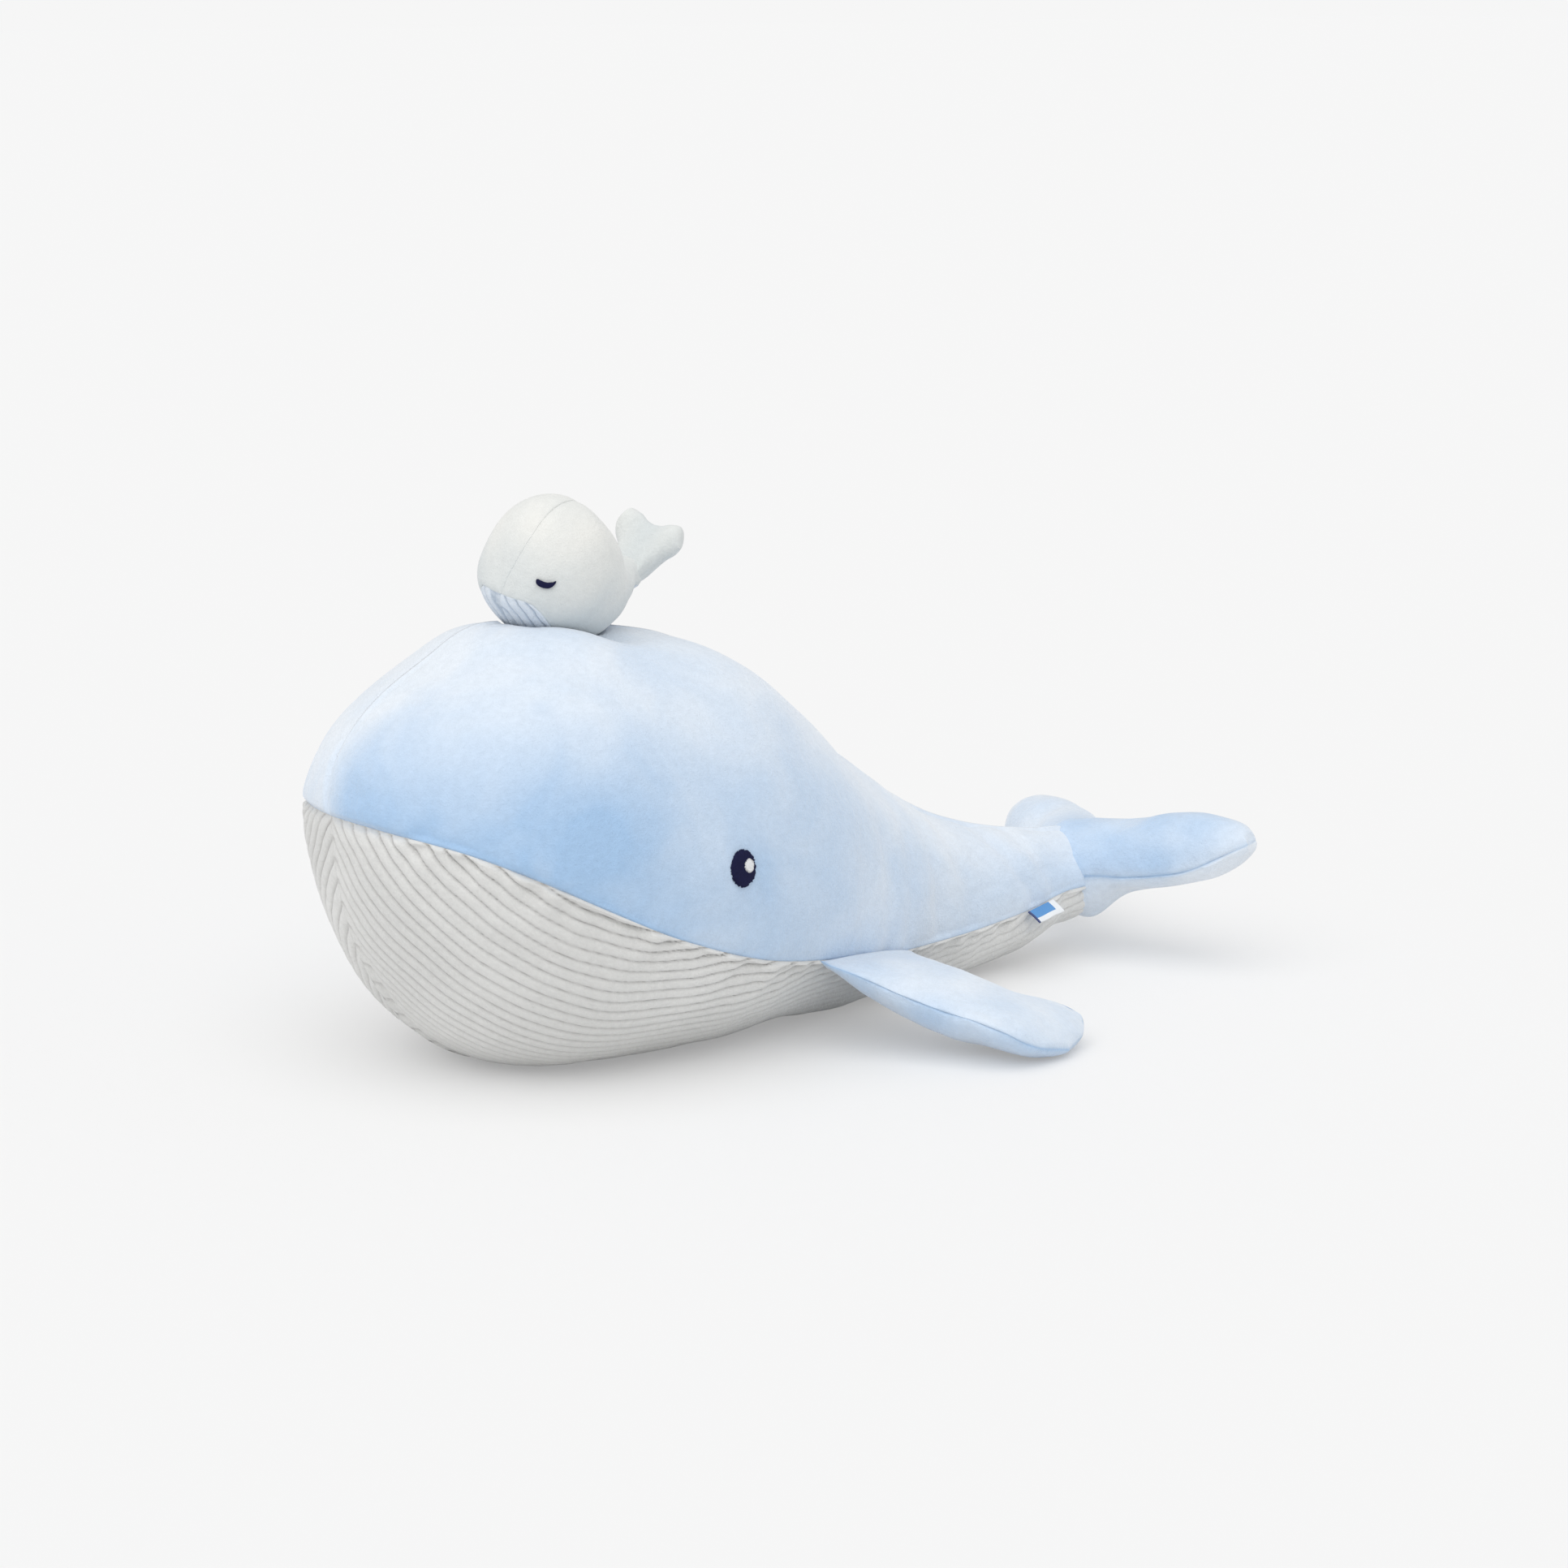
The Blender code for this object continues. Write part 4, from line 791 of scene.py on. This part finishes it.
fin = dict(
    span=0.1195, halfThickness=0.0125, rootRadius=0.004, tipRoundShare=0.8, endRows=40, chord=0.09057,
    front=[(0, -0.50), (0.2, -0.43), (0.5, -0.31), (0.7, -0.24), (0.88, -0.13), (0.97, 0.08), (1, 0.36)],
    rear=[(0, 0.50), (0.15, 0.50), (0.32, 0.54), (0.52, 0.64), (0.70, 0.77), (0.84, 0.76), (0.95, 0.62),
          (1, 0.36)],
    swell=[(0, 0.05), (0.15, 0.66), (0.4, 1.0), (0.7, 1.10), (0.88, 1.10), (1, 0.8)],
    frontLift=[(0, 0.002), (0.15, 0.003), (0.36, 0.0024), (0.55, 0.0036), (0.72, 0.0064), (0.86, 0.0064),
               (1, 0.001)],
    rearLift=[(0, 0), (0.3, 0.002), (0.6, 0.007), (0.8, 0.0095), (0.9, 0.009), (1, 0.003)],
    under=[(0, 0.002), (0.15, 0.0055), (0.36, 0.0065), (0.55, 0.006), (0.72, 0.0012), (0.86, -0.0008), (1, 0)],
    napAndShading=(0.42, 0.70), paintedSeamShade=0.5, spanTone=[(0, 0), (1, 0)], puffCap=0.0018, creaseCap=0.0009, slack=0.02,
    insideBody=0.007, rootFade=(1.02, 0.6), bend=(-0.004, 0.016), rows=132, rowPower=1.7, ring=128,
    seamDepth=0.0021, seamWidth=0.0024, puckerHeight=0.0007, puckerLength=0.013, puckerReach=0.010, fillShare=0.7,
    place=Matrix(((0.27735, 0.9363, 0.21545, 0.29808 + bodyShift), (-0.91737, 0.32471, -0.2302, -0.09059),
                  (-0.28549, -0.13381, 0.94899, 0.04453), (0, 0, 0, 1))),
)
fluke = dict(
    halfSpan=0.113, depth=0.087, halfThickness=0.0285, tipRise=0.005, curl=math.radians(2), tipRoundShare=0.78,
    front=[(0, -0.17), (0.18, -0.07), (0.32, 0.05), (0.5, 0.16), (0.8, 0.40), (0.95, 0.60), (1, 0.76)],
    rear=[(0, 0.67), (0.12, 0.74), (0.35, 0.90), (0.6, 0.99), (0.8, 1.0), (0.95, 0.93), (1, 0.76)],
    swell=[(0, 1.0), (0.2, 0.89), (0.4, 0.79), (0.6, 0.75), (0.8, 0.67), (1, 0.52)],
    seamSag=[(0, 0), (0.25, 0.001), (0.5, 0.005), (0.75, 0.0068), (1, 0.002)],
    bump=[(0, 0), (0.3, 0), (0.5, 0.0028), (0.65, 0.0028), (0.85, 0), (1, 0)],
    petals=[((0.008, 0.020), 0.018, 0.011)], petalTurn=(0, -0.5), napAndShading=(0.75, 0.34), paintedSeamShade=0.5,
    spanTone=[(0, 0.45), (0.13, 0.35), (0.25, 0.08), (0.35, 0), (0.5, 0.05), (0.65, 0.4), (1, 0.45)],
    puffCap=0.0022, creaseCap=0.0012, slack=0.02, endRows=25, rows=200, ring=128, seamDepth=0.0025,
    seamWidth=0.0024, puckerHeight=0.0008, puckerLength=0.016, puckerReach=0.012, fillShare=0.8,
    place=Matrix.Translation((0.20823, 0, 0.0505)) @ Matrix.Rotation(-math.radians(6), 4, "X")
    @ Matrix.Rotation(-math.radians(11), 4, "Y"),
)
# The tail's tones are the calf's bluish painted shade, darkest as painted shade in the hollow between its lobes
calfTail = dict(
    halfSpan=0.0235, depth=0.0375, halfThickness=0.0076, tipRise=0.001, curl=math.radians(45), tipRoundShare=0.78,
    front=[(0, -0.14), (0.4, -0.08), (0.52, 0.18), (0.7, 0.42), (0.9, 0.57), (1, 0.71)],
    rear=[(0, 0.93), (0.2, 0.95), (0.5, 1.03), (0.75, 1.05), (0.93, 0.92), (1, 0.71)],
    swell=[(0, 1.0), (0.4, 1.0), (0.7, 0.9), (1, 0.7)],
    seamSag=[(0, 0), (1, 0)], bump=[(0, 0), (1, 0)], petals=[], napAndShading=(0.34, 0.34), paintedSeamShade=0.15,
    spanTone=[(0, 0.4), (0.3, 0.2), (0.5, -0.1), (0.7, 0.2), (1, 0.4)], puffCap=0.0006, creaseCap=0.0003,
    slack=0.015, endRows=12, rows=96, ring=64, seamDepth=0.0005, seamWidth=0.0014, puckerHeight=0.0002,
    puckerLength=0.008, puckerReach=0.004, fillShare=0.9,
    place=calf["place"] @ Matrix.Translation((0.11, 0, 0.0355)) @ Matrix.Rotation(-math.radians(40), 4, "Y"),
)


def roundShare(at, start):
    return np.sqrt(np.maximum(0, 1 - (np.maximum(0, at - start) / (1 - start)) ** 2))


# A fin in its own frame: out along x from its hinge, back along y, thick along z. Each station is an ellipse
# between its front and rear edges
def finSurface(shape):
    steps = np.linspace(0, 1, shape["rows"] + 1)[:, None]
    whole = shape["span"] + shape["insideBody"]
    out = -shape["insideBody"] + whole * (1 - (1 - steps) ** shape["rowPower"])
    turn = ringTurns(shape["ring"])
    share = np.clip(out / shape["span"], 0, 1)
    front = curveThrough(shape["front"], share) * shape["chord"]
    rear = curveThrough(shape["rear"], share) * shape["chord"]
    swell = curveThrough(shape["swell"], share)
    thick = shape["rootRadius"] + (shape["halfThickness"] - shape["rootRadius"]) * swell
    tip = roundShare(share, shape["tipRoundShare"])
    thick = thick * tip
    closed, full = (-shape["insideBody"] * part for part in shape["rootFade"])
    thick = thick * smoothStep(closed, full, out)
    half = (rear - front) / 2
    y = (front + rear) / 2 + half * np.cos(turn)
    # The seam lies above the middle, so the lower cloth bulges more than the upper
    ahead, behind = curveThrough(shape["frontLift"], share), curveThrough(shape["rearLift"], share)
    lift = (ahead + (behind - ahead) * (1 + np.cos(turn)) / 2) * tip
    under = curveThrough(shape["under"], share)
    z = lift + np.where(turn < math.pi, thick - lift, thick + lift + under) * np.sin(turn)
    x = np.broadcast_to(out, z.shape)
    return np.stack([x, y, z], -1)


# Two lobes across a tail in its own frame: back along x, across along y, thick along z, curled about y
def flukeSurface(shape):
    across = -np.cos(np.linspace(0, math.pi, shape["rows"] + 1))[:, None]
    turn = ringTurns(shape["ring"])
    share = np.abs(across)
    front = curveThrough(shape["front"], share) * shape["depth"]
    rear = curveThrough(shape["rear"], share) * shape["depth"]
    tip = roundShare(share, shape["tipRoundShare"])
    thick = curveThrough(shape["swell"], share) * shape["halfThickness"] * tip
    x = (front + rear) / 2 + (rear - front) / 2 * np.cos(turn)
    # The seam sags below the middle, so the upper cloth bulges more than the lower
    sag = curveThrough(shape["seamSag"], share) * tip
    bump = curveThrough(shape["bump"], share)
    thick = np.where(turn < math.pi, thick + sag + bump, thick - sag)
    z = shape["tipRise"] * share**2 - sag + thick * np.sin(turn)
    y = np.broadcast_to(across * shape["halfSpan"], z.shape)
    for place, radius, depth in shape["petals"]:
        away = np.hypot(x - place[0], np.abs(y) - place[1]) / radius
        z = z - depth * np.exp(-(away**2)) * smoothStep(*shape["petalTurn"], np.sin(turn))
    bend = shape["depth"] / shape["curl"]
    turned = x / bend
    x, z = (bend - z) * np.sin(turned), bend - (bend - z) * np.cos(turned)
    return np.stack([x, y, z], -1)


# Normals of a ring grid from its neighbours, pointing away from the middle of each ring
def ringNormals(points):
    along = np.gradient(points, axis=0)
    around = (np.roll(points, -1, axis=1) - np.roll(points, 1, axis=1)) / 2
    normal = unit(np.cross(along, around))
    outwards = points - points.mean(axis=1, keepdims=True)
    sign = np.sign((normal * outwards).sum(-1).sum())
    return normal * sign


pillowLook = dict(
    broadLumps=5, settle=0.6, swellFade=1.5, heldSteps=2, sideShadingTurn=(-0.3, 0.3), napLumps=0.12, napLumpSize=0.04,
    floorGap=0.0002,
)


# A pillow from its rings: the seam runs along both edges, where the cloth is pulled in and puckers
def pillow(name, shape, points, material):
    ring, width = shape["ring"], shape["seamWidth"]
    normals = ringNormals(points)
    steps = np.linalg.norm(np.roll(points, -1, axis=1) - points, axis=2)
    length = np.concatenate([np.zeros((len(points), 1)), np.cumsum(steps, axis=1)[:, :-1]], axis=1)
    whole = steps.sum(axis=1, keepdims=True)
    half = length[:, ring // 2 : ring // 2 + 1]
    toSeam = np.minimum(np.minimum(length, whole - length), np.abs(length - half))
    gathers = lumps(points, shape["puckerLength"], 31) * np.exp(-toSeam / shape["puckerReach"])
    soft = lumps(points, pillowLook["broadLumps"] * shape["puckerLength"], 37)
    height = shape["puckerHeight"] * (gathers * smoothStep(0, width, toSeam) + soft - pillowLook["settle"])
    height = height - shape["seamDepth"] * np.exp(-toSeam / width)
    heldRows = pillowLook["heldSteps"] * stuffing["step"] + 1
    held = np.zeros(points.shape[:2], bool)
    held[:, [0, ring // 2]] = held[:heldRows] = held[-heldRows:] = True
    blown = stuffedHeight(points, normals, held, True, shape)
    height = height + blown * smoothStep(0, pillowLook["swellFade"] * width, toSeam)
    rows = np.arange(len(points))
    height = height * smoothStep(0, shape["endRows"], np.minimum(rows, rows[::-1])[:, None])
    moved = placed(points + normals * height[..., None], shape["place"])
    moved[..., 2] = np.maximum(moved[..., 2], pillowLook["floorGap"])
    # Tones with painted light and shade: the lower and upper cloth each get their own, painted shade under the
    # fin, and on the fluke a bluer upper and a paler lower cloth, the lower as painted light in the shade under
    # it; random lumps; and a tone along the span, on the fluke darker across each lobe's middle and at the root
    lower, higher = shape["napAndShading"]
    napAndShading = lower + (higher - lower) * smoothStep(*pillowLook["sideShadingTurn"], np.sin(ringTurns(ring)))
    napAndShading = napAndShading + pillowLook["napLumps"] * lumps(moved, pillowLook["napLumpSize"], 13)
    napAndShading = napAndShading + curveThrough(shape["spanTone"], np.linspace(0, 1, len(points)))[:, None]
    # Painted shade in the seam's crease
    napAndShading = np.clip(napAndShading - shape["paintedSeamShade"] * np.exp(-toSeam / (seamShade * width)), 0, 1)
    return meshObject(name, moved, gridFaces(len(points) - 1, ring, ring=True), material, napAndShading.ravel())


mirrored = Matrix.Diagonal((1, -1, 1, 1))
for side, word in ((-1, "left"), (1, "right")):
    shape = fin if side < 0 else dict(fin, place=mirrored @ fin["place"])
    piece = pillow("fin" + word.title(), shape, finSurface(fin), blueCloth)
    root, out = shape["place"].translation, shape["place"].col[0].xyz
    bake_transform(piece)
    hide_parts(f"fin_{word}_top_panel", f"fin_{word}_bottom_panel", f"fin_{word}_filling")
flukePiece = pillow("fluke", fluke, flukeSurface(fluke), blueCloth)
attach(flukePiece, "fluke")
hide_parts("fluke_top_panel", "fluke_bottom_panel", "fluke_filling")
tailPiece = pillow("calfTail", calfTail, flukeSurface(calfTail), whiteCloth)
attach(tailPiece, "calf_tail")
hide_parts("calf_tail_front_panel", "calf_tail_rear_panel", "calf_tail_filling")
print("fins and tails made")

# Embroidery and the label


# The angle of the skin point at a share of the body's height
def angleAt(body, along, height):
    middle = tableAt(body, "widest", along)
    reach = (tableAt(body, "back", along) - middle) * capsOf(body, along)[0]
    return float(np.arcsin((height * body["height"] - middle) / reach))


# Points and normals on the skin round a place on it, by distances towards the rear and up
def aroundPlace(body, side, look, back, high):
    angle = angleAt(body, np.array(look["along"]), look["height"])
    one = np.array([[look["along"]]]), np.array([[angle]])
    centre, normal = skinPoint(body, *one, side)[0, 0], skinNormal(body, *one, side)[0, 0]
    upward = unit(np.array([0, 0, 1.0]) - normal * normal[2])
    rearward = unit(np.array([1.0, 0, 0]) - normal * normal[0])
    target = centre + rearward * back[..., None] + upward * high[..., None]
    # A step along the nose's curve takes less of X than it does on a flat side
    share = target[..., 0] / body["length"]
    middle = tableAt(body, "widest", share)
    reach = (tableAt(body, "back", share) - middle) * capsOf(body, share)[0]
    turn = np.arcsin(np.clip((target[..., 2] - middle) / reach, -1, 1))
    return skinPoint(body, share, turn, side), skinNormal(body, share, turn, side)


# A closed patch from a grid of places on the skin: its upper face over it by a height, its lower one under it
def stitchedPatch(name, body, side, look, back, high, over, material):
    onSkin, out = aroundPlace(body, side, look, back, high)
    top = onSkin + out * over[..., None]
    under = onSkin - out * look["sunk"]
    points = placed(np.concatenate([top, under[::-1]]), body["place"])
    return meshObject(name, points, gridFaces(len(points) - 1, back.shape[1], ring=True), material, weld=1e-7)


# An oval of satin stitches: a low crowned disc with fine upright ridges and a ragged rim
def satinOval(name, side, oval, material):
    share = np.linspace(0, 1, eye["rows"] + 1)[:, None]
    turn = ringTurns(eye["ring"])
    rag = np.random.default_rng(oval["seed"]).uniform(-1, 1, eye["ring"])[None]
    rim = share * (1 + eye["ragged"] / oval["tall"] * 2 * rag * share**3)
    back = oval["back"] + oval["width"] / 2 * rim * np.cos(turn)
    high = oval["up"] + oval["tall"] / 2 * rim * np.sin(turn)
    threads = np.abs(np.sin(math.pi * (back + eye["threadLean"] * high) / eye["threadPitch"])) - 0.5
    crown = np.sqrt(np.maximum(0, 1 - share**6))
    over = oval["lift"] + (oval["relief"] + eye["threadHeight"] * threads) * crown
    return stitchedPatch(name, whale, side, eye, back, high, over, material)


# A shut eye: a bar of satin stitches along a low arc, thick in the middle, with the rear end flicked up
def satinArc(name, side, look, material):
    u = np.linspace(-1, 1, look["rows"] + 1)[:, None]
    turn = ringTurns(look["ring"])
    v = np.cos(turn)
    thick = look["thick"] / 2 * (1 - np.abs(u) ** look["endPower"]) ** 0.5
    thick = thick * (1 - look["taper"] * smoothStep(look["taperFrom"], 1, u))
    ripple = np.abs(np.sin(math.pi * u * look["width"] / 2 / look["threadPitch"]))
    v = v * (1 + look["ripple"] * (ripple - 0.5))
    back = look["width"] / 2 * u + 0 * turn
    flick = look["flick"] * smoothStep(look["flickFrom"], 1, u)
    high = look["sag"] * (u**2 - 0.5 + flick) + thick * v
    crown = np.sin(turn) * (0.5 + 0.5 * np.sign(np.sin(turn)))
    over = look["relief"] * np.sqrt(np.maximum(0, crown)) * (1 - u**6)
    over = over + look["threadHeight"] * ripple * (crown > 0)
    over = np.where(np.sin(turn) < -0.01, -look["sunk"], over)
    onSkin, out = aroundPlace(calf, side, look, back, high)
    points = placed(onSkin + out * over[..., None], calf["place"])
    return meshObject(name, points, gridFaces(look["rows"], look["ring"], ring=True), material, weld=1e-7)


eye = dict(
    along=0.353, height=0.504, threadPitch=0.00055, threadHeight=0.00016, threadLean=0.25, ragged=0.0007, rows=44,
    ring=160, sunk=0.0014, navy=dict(width=0.0174, tall=0.0203, relief=0.0011, back=0.0, up=0.0, lift=0.0, seed=5),
    light=dict(width=0.0064, tall=0.0071, relief=0.0009, back=0.0034, up=0.0011, lift=0.0009, seed=6),
)
calfEye = dict(
    along=0.064, height=0.440, width=0.0108, thick=0.0034, sag=0.0018, relief=0.0008, threadPitch=0.0006,
    threadHeight=0.00015, endPower=9, taper=0.3, taperFrom=0.3, ripple=0.10, flick=0.35, flickFrom=0.6,
    rightAlong=0.27, rows=60, ring=20, sunk=0.0006,
)
for side, word in ((-1, "left"), (1, "right")):
    patch = satinOval("eye" + word.title(), side, eye["navy"], navyThread)
    spot = satinOval("eyeLight" + word.title(), side, eye["light"], whiteThread)
    arc = calfEye if side < 0 else dict(calfEye, along=calfEye["rightAlong"])
    shut = satinArc("calfEye" + word.title(), side, arc, navyThread)
    for piece, node, slot, body in (
        (patch, f"eye_{word}", "navy_thread", "whale"), (spot, f"eye_{word}_highlight", "white_thread", "whale"),
        (shut, f"calf_eye_{word}", "navy_thread", "calf"),
    ):
        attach(piece, body)
        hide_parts(node)
print("eyes stitched")

# The knot that ties the calf on is the CAD's own piece with thread on it
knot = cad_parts["calf_knot"]
knot.data.materials.clear()
knot.data.materials.append(whiteThread)

label = dict(
    length=0.0255, shift=0.0018, reach=0.0080, thickness=0.0006, curl=0.0009, wave=0.0003, waveTurns=400, rows=88,
    columns=36, wallStep=4, inside=0.002, blueEnd=0.80, blueReach=0.60, navyEnd=0.06, blue="#4f93d2",
    white="#eef1f4", navy="#2b3a72", roughness=0.6, sheen=0.2, threadPitch=0.00035, threadBump=0.4,
    threadRelief=0.0001,
    place=Matrix(((0.27354, 0.96123, 0.03477, 0.46 + bodyShift), (-0.82354, 0.25273, -0.50785, -0.04155),
                  (-0.49695, 0.11028, 0.86074, 0.04174), (0, 0, 0, 1))),
)


# Satin-woven tape: a blue field with a white border and a navy selvedge at one end, with fine raised threads
def labelMaterial():
    values = {"Roughness": label["roughness"], "Sheen Weight": label["sheen"]}
    material, tree, shader = newMaterial("woven satin tape", values)
    along, reach = (addNode(tree, "Attribute", attribute_name=name).outputs["Fac"] for name in ("along", "pile"))
    inLength = maths(tree, "LESS_THAN", along, label["blueEnd"])
    field = maths(tree, "MULTIPLY", inLength, maths(tree, "LESS_THAN", reach, label["blueReach"]))
    colour = mixed(tree, field, linearColour(label["white"]), linearColour(label["blue"]))
    selvedge = maths(tree, "LESS_THAN", along, label["navyEnd"])
    tree.links.new(mixed(tree, selvedge, colour, linearColour(label["navy"])), shader.inputs["Base Color"])
    turns = maths(tree, "MULTIPLY", along, 2 * math.pi * label["length"] / label["threadPitch"])
    weave = bumped(tree, maths(tree, "SINE", turns), label["threadBump"], label["threadRelief"])
    tree.links.new(weave, shader.inputs["Normal"])
    return material


# The label in its own frame: out from the seam along x, back along y, curling down a little to its free edge
out = np.linspace(-label["inside"], label["reach"], label["columns"] + 1)[None]
back = np.linspace(-0.5, 0.5, label["rows"] + 1)[:, None] * label["length"] + label["shift"]
share = np.clip(out / label["reach"], 0, 1) + 0 * back
rise = label["wave"] * np.sin(back * label["waveTurns"]) * share - label["curl"] * share**2
face = np.stack([out + 0 * back, back + 0 * out, rise], -1)
thin = np.array([0, 0, label["thickness"] / 2])
labelPiece = walledSheet(
    "sideLabel", placed(face + thin, label["place"]), placed(face - thin, label["place"]), label["wallStep"],
    labelMaterial(), share,
)
# Where each vertex lies on the tape, for its colours
axes = np.array(label["place"].to_3x3())
ends = np.array([v.co for v in labelPiece.data.vertices]) - np.array(label["place"].translation)
along = (ends @ axes[:, 1] - label["shift"]) / label["length"] + 0.5
reach = ends @ axes[:, 0] / label["reach"]
labelPiece.data.attributes.new("along", "FLOAT", "POINT").data.foreach_set("value", along.astype(np.float32))
labelPiece.data.attributes["pile"].data.foreach_set("value", reach.astype(np.float32))
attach(labelPiece, "label")
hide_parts("woven_label")
print("label made")

# Floor, light and camera

studio = dict(
    floorSize=60.0, backdrop="#f6f6f6", floorColour="#efefef", floorGlow=0.34, skyStrength=0.66, sunStrength=1.45,
    sunSpread=math.radians(75), sunFrom=(-0.40, -0.30, 1.0), cameraPlace=(-1.2048, -1.7311, 0.6005),
    azimuth=-35.0, elevation=12.5, lens=85.0, cameraReach=100,
)

corners = np.array([[-1, -1, 0], [1, -1, 0], [1, 1, 0], [-1, 1, 0]]) * studio["floorSize"] / 2
mesh = bpy.data.meshes.new("floor")
mesh.from_pydata(corners.tolist(), [], [[0, 1, 2, 3]])
floor = bpy.data.objects.new("floor", mesh)
bpy.context.scene.collection.objects.link(floor)
floorPaint, tree, shader = newMaterial("matt white paper", {
    "Base Color": linearColour(studio["floorColour"]), "Roughness": 1.0, "Specular IOR Level": 0.0,
})
# The camera sees the paper a little lighter than it is lit, so that the shadows on it stay soft
glow = addNode(tree, "Emission", {"Color": linearColour(studio["backdrop"]), "Strength": 1.0}).outputs[0]
share = maths(tree, "MULTIPLY", addNode(tree, "LightPath").outputs["Is Camera Ray"], studio["floorGlow"])
lit = addNode(tree, "MixShader", {0: share, 1: shader.outputs[0], 2: glow}).outputs[0]
tree.links.new(lit, tree.nodes["Material Output"].inputs["Surface"])
mesh.materials.append(floorPaint)

world = bpy.data.worlds.new("studio")
bpy.context.scene.world = world
world.use_nodes = True
tree = world.node_tree
soft = tree.nodes["Background"]
soft.inputs["Color"].default_value = (1, 1, 1, 1)
soft.inputs["Strength"].default_value = studio["skyStrength"]
seen = addNode(tree, "Background", {"Color": linearColour(studio["backdrop"]), "Strength": 1.0}).outputs[0]
rays = addNode(tree, "LightPath").outputs
either = maths(tree, "MAXIMUM", rays["Is Camera Ray"], rays["Is Glossy Ray"])
which = addNode(tree, "MixShader", {0: either, 1: soft.outputs[0], 2: seen}).outputs[0]
tree.links.new(which, tree.nodes["World Output"].inputs["Surface"])

sun = bpy.data.lights.new("overhead", "SUN")
sun.energy, sun.angle = studio["sunStrength"], studio["sunSpread"]
sunObject = bpy.data.objects.new("overhead", sun)
bpy.context.scene.collection.objects.link(sunObject)
sunObject.rotation_euler = (-Vector(studio["sunFrom"])).to_track_quat("-Z", "Y").to_euler()

camera = bpy.data.objects.new("camera", bpy.data.cameras.new("camera"))
bpy.context.scene.collection.objects.link(camera)
camera.data.lens = studio["lens"]
camera.data.clip_end = studio["cameraReach"]
camera.location = studio["cameraPlace"]
camera.rotation_euler = (math.radians(90 - studio["elevation"]), 0, math.radians(studio["azimuth"]))
bpy.context.scene.camera = camera
bpy.context.scene.view_settings.view_transform = "Standard"
print("studio made")
